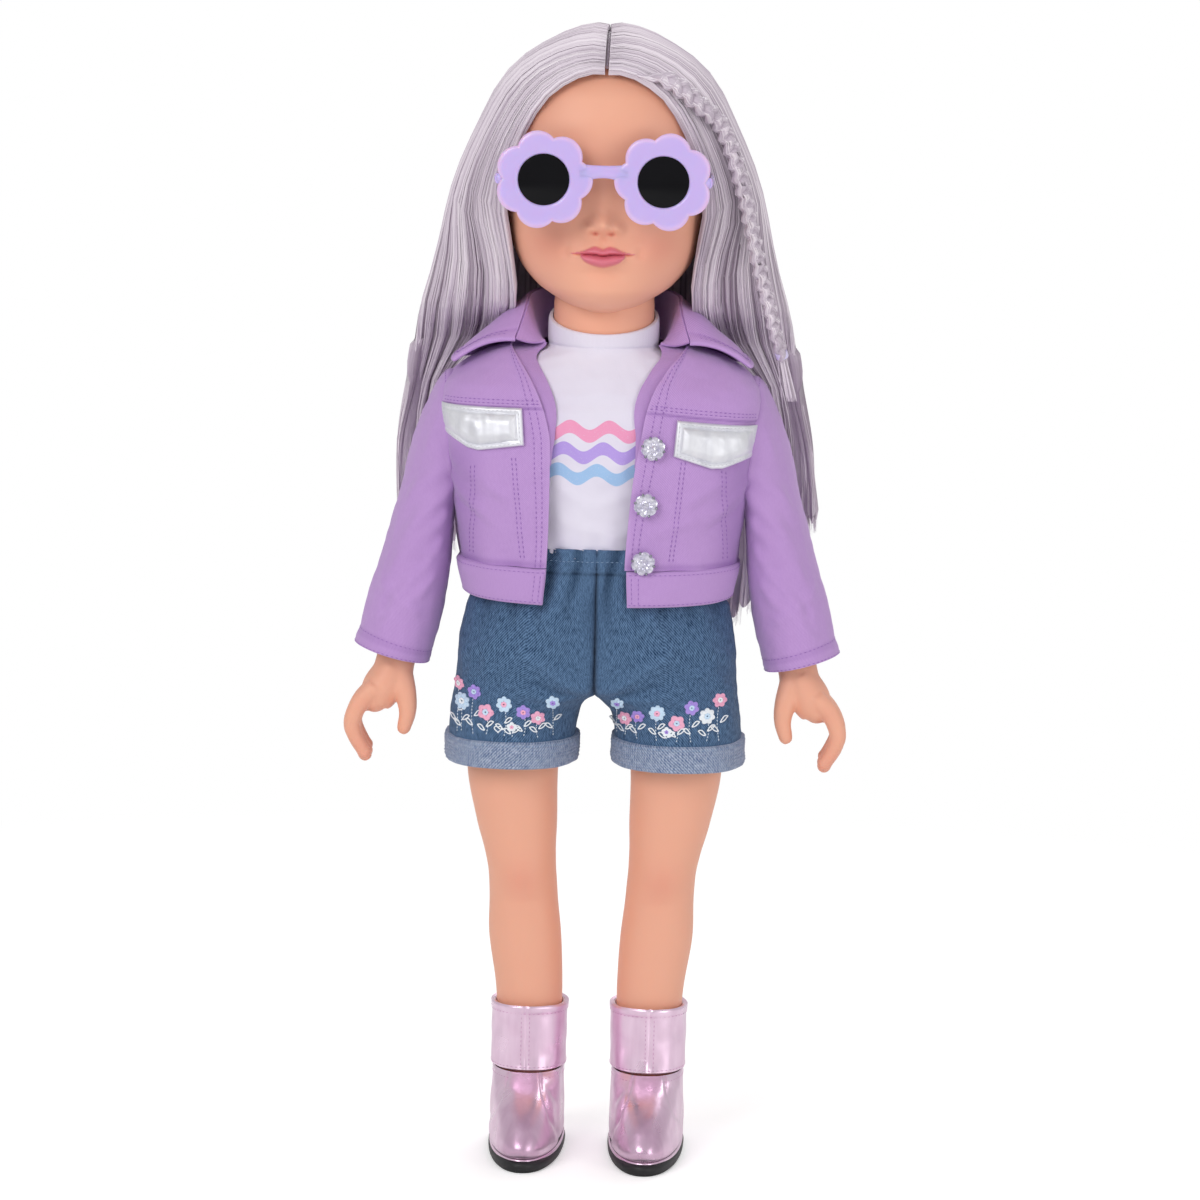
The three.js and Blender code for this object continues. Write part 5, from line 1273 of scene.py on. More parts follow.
def jacketStitching(z, grid, out):  # rows along the yoke, the front edges and the panels' long seams
    rows = []
    for level in (1.0, 2.3):
        for side, first in ((-1, 24), (1, 19.8)):
            x = side * linspace(first, 62.5, 60)
            rows.append(settledStitches(x, yokeHeight(x) + level, grid, out))
        r = np.argmin(abs(z - (jacket["yoke"] + level)))
        rows.append(stitches(grid[r, 88:-88], out[r, 88:-88], 2, 1.45, 0.19, 0.18))
    for column in (2, 4, -3, -5):
        rows.append(stitches(grid[:, column], out[:, column], 2, 1.45, 0.17, 0.18))
    for side in (-1, 1):
        for x, top, lean in ((29, 288, 0.1), (30.6, 288, 0.1), (50.5, 284, -0.03), (52.1, 284, -0.03)):
            z = linspace(247, top, 40)
            rows.append(settledStitches(side * (x + lean * (z - 247)), z, grid, out))
    return rows


def treeOf(points):  # finds the nearest of many points
    tree = KDTree(len(points))
    for i, point in enumerate(points):
        tree.insert(point, i)
    tree.balance()
    return tree


def toEnds(columns):  # for each column of a grid, how many lie between it and the nearer end
    return minimum(np.arange(columns), np.arange(columns)[::-1])[None, :]


def settledStitches(x, z, grid, normals):  # a row of stitches moved onto the nearest points of a surface
    path = stack([x, jacketFront(x, z), z], -1)
    flat = grid.reshape(-1, 3)
    tree = treeOf(flat)
    out = normals.reshape(-1, 3)
    near = [tree.find(p)[1] for p in path]
    lift = ((path - flat[near]) * out[near]).sum(-1, keepdims=True)
    return stitches(path - lift * out[near], out[near], 2.0, 1.45, 0.19, 0.16)


def makeWaistband():
    v = linspace(0, 1, 26)
    rows = []
    for part, (start, stop) in {"right": (0, 0.242), "back": (0.2435, 0.7565), "left": (0.758, 1)}.items():
        z = jacket["hem"] + (jacket["bandTop"] - jacket["hem"]) * v
        full = jacketGrid(z, 1600, 0.95)[:, int(start * 1599):int(stop * 1599) + 1][:, ::4]
        x, y, height = np.moveaxis(full, -1, 0)
        drop = jacket["droop"] * clip((10 - y) / 50, 0, 1) ** 1.3 * (1 - 0.45 * v[:, None])
        full = full - spread(0, 0, drop)
        out = -outward(full)
        ends = toEnds(x.shape[1])
        roll = 0.95 * pillow(v[:, None], 6) * roundEdge(ends / 2.5)
        puff = 0.35 * sin(x / 3.4 + 0.7 * sin(height / 3)) * abs(sin(pi * v[:, None])) ** 0.5
        full = full + out * (roll + puff * 0.6 + 0.3 * ripple(full, 18, 33))[..., None]
        made = shell(full[:, ::-1], full[:, ::-1] - (out * 2.2)[:, ::-1], False, (120, 14))
        makePiece(f"jacket_{part}_waistband_cloth", [made], lilacTwill, "torso", [f"jacket_{part}_waistband"],
                  50)
        for r in (2, 23):
            rows.append(stitches(full[r], out[r], 2.0, 1.4, 0.16, 0.15))
        if part != "back":
            for c in ((2, 5) if part == "right" else (full.shape[1] - 3, full.shape[1] - 6)):
                rows.append(stitches(full[2:-2, c], out[2:-2, c], 1.9, 1.3, 0.16, 0.15))
    makePiece("jacket_waistband_topstitching", rows, lilacThread, "torso")


# The collar: a curved strip from the fold round the neck to its points, each edge by share of the way back
collarFold = through([
    [0, 40.5, 34, 2], [0.05, 36.8, 31.5, 7.5], [0.12, 32.8, 28.8, 14], [0.22, 31, 27, 17.6],
    [0.4, 31, 27, 19.6], [0.6, 32, 28.5, 20.6], [1, 31, 31, 21]])
collarEdge = through([
    [0, 63, 50, -7], [0.2, 57, 33, -6.5], [0.5, 48, 32.2, -6.9], [0.75, 41.3, 34.3, -8.2],
    [1, 38.2, 35.8, -9.2]])
collar = {"foldEnd": 1.05, "edgeEnd": 1.25, "bulge": 2.8}


def collarGrid(columns, rows):
    u = linspace(-1, 1, columns)
    share = 1 - abs(u)
    side = where(u < 0, -1, 1)
    fold, edge = collarFold(share), collarEdge(share)
    foldTurn = collar["foldEnd"] + (pi - collar["foldEnd"]) * share
    edgeTurn = collar["edgeEnd"] + (pi - collar["edgeEnd"]) * share
    start = stack([side * fold[:, 0] * sin(foldTurn), -fold[:, 1] * cos(foldTurn), fold[:, 2]], -1)
    stop = stack([side * edge[:, 0] * sin(edgeTurn), -edge[:, 1] * cos(edgeTurn), edge[:, 2]], -1)
    v = linspace(0, 1, rows)[:, None, None]
    grid = start[None] + (stop - start)[None] * v
    grid[..., 2] += neckBase + collar["bulge"] * sin(pi * v[..., 0]) ** 0.9
    return grid


def makeCollar():
    columns, rows = 321, 44
    grid = collarGrid(columns, rows)
    out = outward(grid)
    out = out * where(out[..., 2:] < 0, -1, 1)
    v = linspace(0, 1, rows)[:, None]
    ends = toEnds(columns)
    rim = roundEdge(minimum(ends / 2.2, (1 - v) * rows / 2.2))
    near = minimum(ends * 0.75, (1 - v) * 28)
    pad = 0.35 * step(3.6, 3.0, near)
    d = 0.85 * rim + 0.4 * ripple(grid, 22, 41) * step(0, 0.2, v) + pad - 0.25 * bell(near, 4.2, 0.5)
    top = grid + out * d[..., None]
    under = grid - out * (0.85 * rim)[..., None]
    # painted shade in the groove inside the collar's edge; the second mark lightens its worn edges
    wearAndPaintedLight = 0.5 * step(1.2, 0.3, near)
    made = shell(top, under, False, (220, 28), marksOf(top, 0.3 * bell(near, 4.4, 0.6), wearAndPaintedLight))
    makePiece("jacket_collar_cloth", [made], lilacTwill, "torso", ["jacket_collar"], 50)
    lines = [stitches(top[r, 3:-3], out[r, 3:-3]) for r in (rows - 4, rows - 6)]
    foldLine = grid[0, 2:-2]
    foot = (foldLine * [1, 1, 0] * (25.4 / np.hypot(foldLine[:, 0], foldLine[:, 1]))[:, None]
            + [0, 0, neckBase + 1.2])
    w = linspace(0, 1, 14)[:, None, None]
    stand = foldLine * (1 - w) + foot * w - array([0, 0, 1.2]) * sin(pi * w)
    makePiece("jacket_collar_stand", [cloth(stand, 0.9, False, (180, 16))], lilacTwill, "torso", [], 50)
    for c in (4, 6, columns - 5, columns - 7):
        lines.append(stitches(top[6:-4, c], out[6:-4, c]))
    makePiece("collar_topstitching", lines, lilacThread, "torso")


# The facing: the turned-in edge of each front, seen beside the opening up to the collar's foot
facingWidth = through([[284, 0.4], [297, 2.2], [304, 4.2], [311, 5.6], [320, 6.2], [332, 6.6]])
facing = {"low": 285, "neckX": 23.0, "neckY": -11.0, "tuck": 0.8, "behind": 1.9, "above": 1.5, "turn": 325}


def makeFacing():
    top = neckBase + 1.2
    z = linspace(facing["low"], top, 52)
    v = linspace(0, 1, 10)[None, :, None]
    for side, label, opening in ((1, "left", openLeft), (-1, "right", openRight)):
        edge = abs(opening(z))[:, 0]
        inner = edge - facingWidth(z)[:, 0]
        w, f, _ = np.moveaxis(torsoShape(minimum(z, facing["turn"])) + tee["grow"], -1, 0)
        teeFront = (-f * clip(1 - clip(inner / w, 0, 1) ** tee["power"], 0, 1) ** (1 / tee["power"])
                    - facing["above"])
        share = step(facing["turn"], top, z)
        start = stack([side * (edge + facing["tuck"]), jacketFront(edge + facing["tuck"], z)
                       + facing["behind"], z], -1)
        stop = stack([side * (inner + (facing["neckX"] - inner) * share), teeFront
                      + (facing["neckY"] - teeFront) * share, z], -1)
        grid = start[:, None] + (stop - start)[:, None] * v
        grid[..., 1] -= 0.5 * sin(pi * v[..., 0])
        made = cloth(grid if side < 0 else grid[:, ::-1], 0.9, False, (40, 8))
        makePiece(label + "_front_facing", [made], lilacTwill, "torso", [], 50)


# Sleeves: rings between an outer and an inner edge from the armhole to the hem
sleeveEdges = through([
    [-0.08, 53, 320.4, 50, 273, 19.5], [0, 60.5, 320, 54.5, 271, 22.4],
    [0.06, 64.6, 317.4, 56.5, 268, 22.8], [0.2, 70.2, 308.5, 58.4, 262.5, 22.4],
    [0.4, 77.2, 287.5, 59.6, 252, 20.4], [0.6, 83.6, 262.5, 60.6, 240, 18.9], [0.8, 90.8, 236, 63, 222, 18],
    [0.92, 95.6, 218, 66.4, 207.6, 17.8], [1, 98.6, 207, 68.6, 199, 18]])
sleeveFolds = [
    [(60, -20, 283), (88, -16, 262), 3, 1.5], [(60, -18, 274), (84, -19, 247), 3, 1.4],
    [(62, -17, 262), (86, -17, 238), 2.8, 1], [(63, -16, 250), (82, -18, 228), 2.6, 0.9],
    [(72, -22, 300), (88, -18, 280), 3.2, 0.9], [(90, -12, 236), (74, -17, 222), 2.6, 0.8],
    [(66, -16, 236), (88, -16, 214), 2.4, 0.8], [(64, 18, 280), (88, 16, 256), 3.2, 1.2],
    [(64, 17, 260), (88, 16, 236), 3, 1], [(84, 0, 282), (90, 8, 262), 3.4, 0.9],
    [(92, -4, 252), (92, 10, 240), 3.2, 0.8], [(70, -20, 290), (66, -22, 306), 2.4, 0.6],
    [(78, -20, 262), (92, -10, 250), 2.4, -0.8], [(70, -18, 243), (86, -16, 226), 2.2, -0.7]]


def makeSleeves():
    t = concatenate([linspace(-0.08, 0.02, 8), linspace(0.03, 0.985, 104), [0.992, 0.997, 1.0]])
    e = sleeveEdges(t)
    a = turns(140)[None, :]
    mid = spread((e[:, 0] + e[:, 2]) / 2, 0, (e[:, 1] + e[:, 3]) / 2)[:, None]
    half = spread((e[:, 0] - e[:, 2]) / 2, 0, (e[:, 1] - e[:, 3]) / 2)[:, None]
    grid = mid + half * cos(a)[..., None] + spread(0, sin(a), 0) * e[:, 4][:, None, None]
    out = outward(grid, True)
    centre = grid.mean(1, keepdims=True)
    if (out * (grid - centre)).sum() < 0:
        out = -out
    share = t[:, None]
    puff = 0.35 * sin(pi * clip(share / 0.14, 0, 1)) + 0 * a
    hem = 0.3 * step(0.948, 0.958, share) - 0.35 * bell(share, 0.953, 0.005) - 0.7 * step(0.993, 1.0, share)
    seamHead = -0.7 * bell(share, 0, 0.012)
    free = step(0.02, 0.12, share) * step(0.97, 0.9, share)
    d = puff * step(-0.01, 0.02, share) + hem + seamHead + 1.25 * creases(grid, sleeveFolds) * free
    d = d + (0.55 * ripple(grid, 22, 51) + 0.18 * ripple(grid, 8, 52)) * step(0, 0.08, share)
    grid = grid + out * d[..., None]
    # shade: painted shade in the grooves of the armhole seam and the hem line; the second mark lightens the
    # worn edge of the hem
    shade = 0.6 * bell(share, 0, 0.012) + 0.4 * bell(share, 0.953, 0.005) + 0 * a
    wearAndPaintedLight = 0.5 * step(0.99, 0.999, share) + 0 * a
    inner = grid - out * 1.5
    forms = [shell(grid, inner, True, (130, 125), marksOf(grid, shade, wearAndPaintedLight))]
    lines = []
    for level in (0.944, 0.988, 0.035):
        r = np.argmin(abs(t - level))
        lines.append(stitches(closed(grid[r]), closed(out[r])))
    for side, label, made, thread in ((1, "left", forms, lines),
                                      (-1, "right", mirrored(forms), mirrored(lines))):
        sleeve = makePiece(label + "_sleeve_cloth", made, lilacTwill, None, [label + "_sleeve"], 60)
        seams = makePiece(label + "_sleeve_topstitching", thread, lilacThread)
        for piece in (sleeve, seams):
            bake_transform(piece)


# Pocket flaps: puffed foil pads with a point below, each lying on the front
flapStart = 31
# each side, name, width, drop below the yoke, and how far down it reaches by share of its width
flaps = ((-1, "right", 33.5, 0.3, ((0, 14.6), (0.6, 17.8), (1, 10.5))),
         (1, "left", 32.5, 2.0, ((0, 14.4), (0.52, 18.6), (1, 12))))


def makeFlaps():
    for side, label, wide, drop, reaches in flaps:
        u, v = linspace(0, 1, 71)[None, :], linspace(0, 1, 41)[:, None]
        reach = np.interp(u, *zip(*reaches)) * (1 - 0.04 * bell(u, reaches[1][0], 0.04))
        x = side * (flapStart + u * wide - 1.2 * v * (1 - u))
        z = yokeHeight(x) - drop - reach * v
        border = minimum(minimum(u, 1 - u) * wide, minimum(v, 1 - v) * reach)
        roll = roundEdge(border / 1.1)
        puff = 1.1 * roll + 1.5 * step(1.5, 6, border) - 0.8 * bell(border, 2.2, 0.5)
        plan = spread(x, z)
        flat = spread(plan[..., 0], 0, plan[..., 1])
        base = jacketFront(x + 0 * z, z) - 0.9
        crush = 0.45 * ripple(flat * [1, 1, 0.4], 7, 61 + side)
        crush = crush + 0.14 * ripple(flat * [1, 1, 0.5], 3.6, 63 + side)
        y = base - puff - crush * step(0.8, 3.5, border)
        top3 = spread(x, y, z)
        under = spread(x, base + 0.4, z)
        forms = [shell(top3, under)]
        makePiece(label + "_flap_pad", forms, silverFoil, "torso", [label + "_pocket_flap"], 50)
        loop = concatenate([top3[3, 4:-4], top3[3:-3, -4][1:], top3[-4, 4:-4][::-1], top3[3:-3, 3][::-1]])
        makePiece(label + "_flap_stitching", [stitches(loop, np.tile([0, -1.0, 0], (len(loop), 1)), 1.8, 1.25,
                                                       0.15, 0.1)], silverThread, "torso")


# Buttons: a faceted flower of round jewel petals about a raised middle
def makeButtons():
    clearJewel = jewelFinish()
    for label, x, z in (("top", 21.8, 293.4), ("middle", 19.4, 270.6), ("bottom", 18.8, 247)):
        y = float(jacketFront(x, z)) - 1.9
        a = turns(96)[None, :]
        lobes = 4.0 + 0.95 * abs(cos(3 * (a - 0.3))) ** 0.7
        levels = array([[0.86, 0.6], [0.97, 0.1], [1.0, -0.5], [0.94, -1.1], [0.82, -1.55], [0.64, -1.5],
                        [0.52, -1.15], [0.46, -1.3], [0.42, -1.9], [0.3, -2.3], [0.14, -2.45]])
        r = levels[:, :1] * (2.6 + (lobes - 2.6) * step(0.3, 0.8, levels[:, :1]))
        rings = spread(x + r * cos(a), y + levels[:, 1:], z + r * sin(a))
        made = skinned(rings, ends=[(x, y + 0.7, z), (x, y - 2.48, z)])
        makePiece(f"jewel_button_{label}", [made], clearJewel, "torso", [f"jacket_button_{label}"], 20)
        setting = [ball([x + 4.45 * cos(k * pi / 3 + 0.82), y - 0.9, z + 4.45 * sin(k * pi / 3 + 0.82)],
                        [0.55] * 3, 10, 6) for k in range(6)]
        makePiece(f"button_setting_{label}", setting, springSteel, "torso")


def jewelFinish():
    finish, tree, shader, here, _ = newFinish("clearJewel", Roughness=0.05, Metallic=0.55, Coat_Weight=1.0,
                                              Coat_Roughness=0.02)
    # the cell pattern paints facet reflections into the colour, and also bumps the facets
    cut = node(tree, "TexVoronoi", {"Vector": here, "Scale": 620.0})
    joined(shader, Base_Color=mixed(cut.outputs["Distance"], rgb("f4f2fb"), rgb("b9b4cf")))
    bumped(shader, cut.outputs["Distance"], 0.6, 0.0006)
    return finish


bodyCloth = plasticFinish("bodyCloth", "f0d3c4", "e6c2b0", 0.9)
whiteThread = plasticFinish("whiteThread", "eeeaf2", "ddd6e6", 0.7)
makeTorso()
makeTee()
makeJacket()
makeCollar()
makeFacing()
makeSleeves()
makeFlaps()
makeButtons()
print("stage: tee and jacket")


# Shorts: each half is one tube from cuff to waist. Below the fork it is an oval about the leg, above it half
# of the seat's oval with a wall along the middle, and the one turns into the other over a short height.
seatShape = through([
    [190, 57.6, 33.2, 34], [197, 57, 33.5, 34.5], [212, 56, 33.8, 34.4], [225, 53.2, 33.3, 33.8],
    [230, 50.6, 32.9, 33], [241, 48.6, 32.4, 31.8], [251, 48.2, 32.6, 31.8]])
legEdges = through([
    [161, 59.8, 8.2, 27.5], [172.5, 59.8, 7.8, 27.8], [179, 59.4, 7, 29], [184, 58.8, 5.4, 30],
    [187.3, 58.3, 3.2, 31], [189.3, 58, 1.2, 31.6], [190.6, 57.8, -0.6, 32], [197, 57, -0.6, 33.3],
    [251, 57, -0.6, 33.3]])
shorts = {"cuffLow": 161, "cuffTop": 172, "wall": 1.3, "cuffGrow": 1.1, "cuffWall": 2.6, "rib": 1.25}


def shortsGrid(z, columns, grow=0.0):
    a = (-pi / 2 + turns(columns))[None, :]
    outer, inner, depth = halves(legEdges(z))
    w, f, b = halves(seatShape(maximum(z, 190)))
    above = step(181, 197, z)[:, None]
    outer = outer + (w - outer) * above
    middle, half = (outer + inner) / 2, (outer - inner) / 2 + grow
    c, s = cos(a), sin(a)
    ovalX = np.sign(c) * abs(c) ** (2 / 2.2)
    x = middle + half * ovalX
    legY = (depth + grow) * np.sign(s) * abs(s) ** (2 / 2.2)
    reach = where(s < 0, f, b) + grow
    seatY = reach * clip(1 - (clip(x, 0, None) / (w + grow)) ** 2.3, 0, 1) ** (1 / 2.3)
    seatY = where(c < 0, seatY * clip(1 - abs(ovalX) ** 16, 0, 1) ** (1 / 16), seatY) * np.sign(s)
    return spread(x, legY + (seatY - legY) * above, z[:, None])


shortsFolds = [
    [(2, -33, 192), (30, -33, 208), 3.6, 1.7], [(4, -32, 184), (34, -32, 195), 3.4, 1.3],
    [(6, -31, 178), (26, -31, 183), 2.6, 0.6], [(2, -33, 200), (22, -34, 224), 3.4, 1.2],
    [(1, -33, 208), (12, -34, 232), 3, 0.9], [(8, -33, 190), (42, -31, 201), 2.6, -1.1],
    [(40, -26, 212), (58, -10, 204), 2.8, 0.9], [(44, -24, 200), (60, -8, 190), 2.6, 0.8],
    [(10, -32, 190), (40, -30, 186), 2, -0.6], [(12, -33, 230), (30, -32, 216), 2.4, 0.7],
    [(3, 34, 190), (34, 33, 206), 3, 1.2], [(5, 33, 182), (36, 32, 192), 2.8, 0.9],
    [(20, 34, 226), (40, 30, 210), 3, 0.9]]


def shortsCloth(side):  # one half's shell, its grid and normals, and its row of stitches below the waist
    z = concatenate([linspace(163, 186, 24), linspace(186.6, 204, 26), linspace(204.8, 242, 38),
                     linspace(242.6, 250.4, 12), [250.8, 251]])
    grid = shortsGrid(z, 248)
    out = outward(grid, True)
    x, y, height = np.moveaxis(grid, -1, 0)
    waves = sin(x / 1.75 + 0.9 * side + 1.4 * sin(height / 9 + side))
    pleat = 0.85 * waves * (0.25 + step(215, 241, height))
    folds = creases(grid, shortsFolds)
    covering = step(0, 2.5, x) * step(183, 190, height) + step(190, 183, height)
    d = pleat * step(1, 5, x) * step(205, 238, height) + folds
    d = d + 0.6 * ripple(grid, 24, 71 + side) + 0.22 * ripple(grid, 8, 73 + side)
    d = d - 0.5 * bell(y, 1, 0.55) * step(20, 30, x)
    elastic = 0.35 * sin(x / 0.95 + sin(height)) * step(241, 242, height)
    band = 0.8 * step(240.4, 241.4, height) + elastic - 0.6 * bell(height, 241, 0.6)
    d = d * covering + band - 0.8 * step(250.3, 251.1, height)
    grid = grid + out * d[..., None]
    grid[..., 0] = maximum(grid[..., 0], -0.6)
    # painted shade in the gather valleys, the hollow folds, the fork and the groove along the waistband's
    # lower edge; the second mark lightens worn edges beside the side seam and paints highlight on fold and
    # gather ridges
    valley = clip(-waves, 0, 1) * step(210, 241, height)
    fork = step(1.6, 0.2, x) * step(186, 192, height) * (abs(y) > 10)
    shade = 0.45 * valley + 0.4 * step(-0.3, -1, folds) + 0.4 * fork + 0.5 * bell(height, 241, 0.7)
    wearAndPaintedLight = 0.15 * step(0.5, 1.6, folds) + 0.3 * bell(y, 2.2, 0.5) * step(20, 30, x)
    wearAndPaintedLight = wearAndPaintedLight + 0.3 * (1 - valley) * step(222, 241, height)
    made = shell(grid, grid - out * shorts["wall"], True, (210, 90), marksOf(grid, shade, wearAndPaintedLight))
    row = np.argmin(abs(z - 246))
    return made, grid, out, stitches(closed(grid[row]), closed(out[row]))


def turnupForm(side):  # the wide turned-up cuff with its ribs, and its row of stitches
    share = linspace(0, 1, 26)
    z = shorts["cuffLow"] + (shorts["cuffTop"] - shorts["cuffLow"]) * share
    grid = shortsGrid(z, 340, shorts["cuffGrow"])
    out = outward(grid, True)
    ribs = 0.24 * sin(grid[..., 2] * 2 * pi / shorts["rib"])
    d = 0.9 * pillow(share, 6)[:, None] - 0.5 + ribs
    d = d + 0.4 * ripple(grid, 20, 75 + side) + 0.2 * ripple(grid, 6, 77 + side)
    grid = grid + out * d[..., None]
    grid[..., 2] -= step(10, -26, grid[..., 1])
    # painted shade in bands at the rib pitch
    marks = marksOf(grid, 0.25 * abs(sin(grid[..., 2] * pi / shorts["rib"])))
    made = shell(grid, grid - out * shorts["cuffWall"], True, (210, 12), marks)
    return made, stitches(closed(grid[-4]), closed(out[-4]))


def makeShorts():
    for side, label in bothSides:
        cloths, grid, out, waistRow = shortsCloth(side)
        cuff, cuffRow = turnupForm(side)
        forms, cuffs, lines = [cloths], [cuff], [cuffRow, waistRow]
        if side < 0:
            forms, cuffs, lines = mirrored(forms), mirrored(cuffs), mirrored(lines)
        nodes = [label + "_shorts_leg"] + (["shorts_seat", "shorts_waistband"] if side > 0 else [])
        pieces = [makePiece(label + "_shorts_cloth", forms, denimTwill, None, nodes, 60),
                  makePiece(label + "_shorts_turnup", cuffs, denimReverse, None, [label + "_shorts_cuff"],
                            60),
                  makePiece(label + "_shorts_topstitching", lines, denimThread)]
        pieces += embroider(grid * [side, 1, 1], out * [side, 1, 1], side, label)
        for piece in pieces:
            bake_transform(piece)


# Thread flowers above the turn-ups: each kind is a closed curve in the cloth, with a stem of running stitches
blossoms = {
    "right": [(6, -55.4, 192.2, 2.2, "pink", "leaf"), (8, -53.6, 185.8, 2.9, "pale", "leaf"),
              (6, -48.6, 190.4, 2.5, "purple", "pale"),
              (5, -43.6, 183.2, 2.9, "pink", "pale"), (7, -36.2, 186.8, 2.8, "pale", "pink"),
              (6, -28.4, 184, 2.6, "purple", "pink"),
              (6, -22.6, 181.6, 2.6, "pink", "leaf"), (6, -16.6, 188.4, 2.5, "pale", "purple"),
              (5, -33, 177.6, 1.8, "leaf", "pink")],
    "left": [(6, 9.4, 188.0, 2.5, "pale", "purple"), (6, 12.6, 181.2, 2.6, "pink", "leaf"),
             (6, 17.8, 183.0, 2.4, "purple", "pink"),
             (8, 25.6, 185, 2.9, "pale", "pink"), (5, 33.6, 181, 2.9, "pink", "pale"),
             (6, 39.4, 187.2, 2.6, "purple", "pale"),
             (7, 45.6, 183.6, 2.8, "leaf", "pale"), (6, 50.6, 189.4, 2.5, "pink", "leaf"),
             (5, 29.6, 177.2, 1.8, "leaf", "purple")]}
threadTones = {"pink": "f6b4d0", "pale": "cfe5f9", "purple": "b095e4", "stem": "e3edf8", "leaf": "f2f6fb"}


def embroider(grid, normals, side, label):
    front = (grid[..., 1] < -2) & (abs(grid[..., 0]) > 0.6) & (grid[..., 2] < 205)
    spots, outs = grid[front], normals[front]
    tree = treeOf(spots * [1, 0, 1])

    def onCloth(x, z, lift):
        near = [tree.find((a, 0, b))[1] for a, b in zip(np.atleast_1d(x), np.atleast_1d(z))]
        return stack([x, spots[near, 1], z], -1) + outs[near] * lift, outs[near]

    made = {tone: [] for tone in threadTones}
    turn = linspace(0, 2 * pi, 61)
    for petals, x, z, size, tone, eye in blossoms[label]:
        for reach, lift, thread in ((0.86 + 0.14 * cos(petals * turn + x), 0.2, tone),
                                    (0.6 + 0.1 * cos(petals * turn + x), 0.3, tone),
                                    (0.27 + 0 * turn, 0.36, eye)):
            path, _ = onCloth(x + size * reach * cos(turn), z + size * reach * sin(turn), lift)
            made[thread].append(tube(path, 0.19 * size, 6, up=(0, 1, 0)))
        bend = 1.2 * sin(x * 1.7)
        zz = linspace(z - size, 173.4, 14)
        xx = x + bend * sin(pi * (z - zz) / (z - 173)) * 0.8
        path, outsThere = onCloth(xx, zz, 0.1)
        made["stem"].append(stitches(path, outsThere, 1.35, 1.05, 0.24, 0.14))
        for way in (-1, 1):
            t = linspace(0, pi, 15)
            foot = 174.4 + (z - size - 174) * (0.35 + 0.14 * way)
            lx = x + way * (0.3 + 3.0 * t / pi)
            lz = foot + 2.0 * t / pi
            path, _ = onCloth(concatenate([lx, lx[::-1]]),
                              concatenate([lz - 0.6 * sin(t), (lz + 1.1 * sin(t))[::-1]]), 0.24)
            made["leaf"].append(tube(path, 0.27, 5, up=(0, 1, 0)))
    heart = -38.5 if side < 0 else 30.5
    h = linspace(0, 2 * pi, 41)
    path, _ = onCloth(heart + 0.095 * 16 * sin(h) ** 3, 176.6 + 0.095 * (13 * cos(h) - 5 * cos(2 * h)
                                                                         - 2 * cos(3 * h) - cos(4 * h)), 0.22)
    made["leaf"].append(tube(path, 0.24, 6, up=(0, 1, 0)))
    return [makePiece(f"{label}_shorts_{tone}_embroidery", forms, threadFinish(tone)) for tone,
            forms in made.items() if forms]


def threadFinish(tone):
    name, colour = "thread_" + tone, threadTones[tone]
    return bpy.data.materials.get(name) or plasticFinish(name, colour, colour, 0.6)


denimThread = plasticFinish("denimThread", "8fa9c8", "7c97b8", 0.7)
makeShorts()
print("stage: shorts")


# Hair. A strand's place round the head is u: 0 at the edge of the face, 0.2 at the side, 1 at the middle of
# the back. It leaves the parting, crosses the dome on a great circle to its side, and hangs through loops.
domeShape = through([
    [0, 40, 63.8, 30, 57.4], [10, 52, 60.7, 37.5, 57.7], [20, 64, 56, 44.5, 57], [30, 76, 50.5, 48.8, 54.7],
    [40, 87, 45.2, 48.8, 50.8], [50, 96, 38.8, 44, 45], [60, 103, 30.5, 35, 37],
    [70, 108.5, 21, 24.5, 26.5], [80, 113, 10.6, 12, 13], [90, 114.4, 0.1, 0.1, 0.1]])
hairSide = through([[0, -52], [0.08, -31], [0.2, -4], [0.35, 26], [0.5, 48], [0.75, 70], [1, 90]])
hairLoops = [through(rows) for rows in (
    [[0, 36.8, -18, 364], [0.1, 56, -12, 364], [0.2, 68.5, 2, 364], [0.35, 62, 30, 364], [0.5, 47, 45, 364],
     [0.75, 26, 54, 364], [1, 0, 56.5, 364]],
    [[0, 36, -6, 347], [0.1, 58, -3, 346], [0.2, 74, 6, 345], [0.35, 66, 32, 345], [0.5, 49, 45.5, 345],
     [0.75, 26, 54, 345], [1, 0, 56.5, 345]],
    [[0, 42, 24, 332], [0.1, 61, 22.5, 330], [0.2, 77, 21, 329], [0.35, 68, 38, 329], [0.5, 49, 47.5, 329],
     [0.75, 26, 54.4, 329], [1, 0, 56.2, 329]])]
hairHang = [(0.27, through([[0, 61, 34], [0.1, 70, 33.5], [0.2, 80.3, 29.5], [0.35, 69, 41], [0.5, 46, 49.5],
                            [0.75, 26, 54.6], [1, 0, 56]])),
            (0.6, through([[0, 57, 38.5], [0.1, 72, 35.5], [0.2, 84.8, 31], [0.35, 67.5, 42], [0.5, 47, 49.5],
                           [0.75, 25, 54], [1, 0, 55.5]])),
            (1, through([[0, 52, 40.5], [0.1, 70, 37], [0.2, 86, 32], [0.35, 66, 42.5], [0.5, 44, 49.5],
                         [0.75, 21, 53], [1, 0, 54.5]]))]
hairTip = through([
    [0, 268], [0.08, 262], [0.2, 256.5], [0.3, 252], [0.4, 224], [0.5, 210], [0.6, 207], [1, 206]])
hairRoot = through([[0, 53], [0.1, 66], [0.2, 78], [0.35, 96], [0.5, 110], [0.75, 122], [1, 130]])
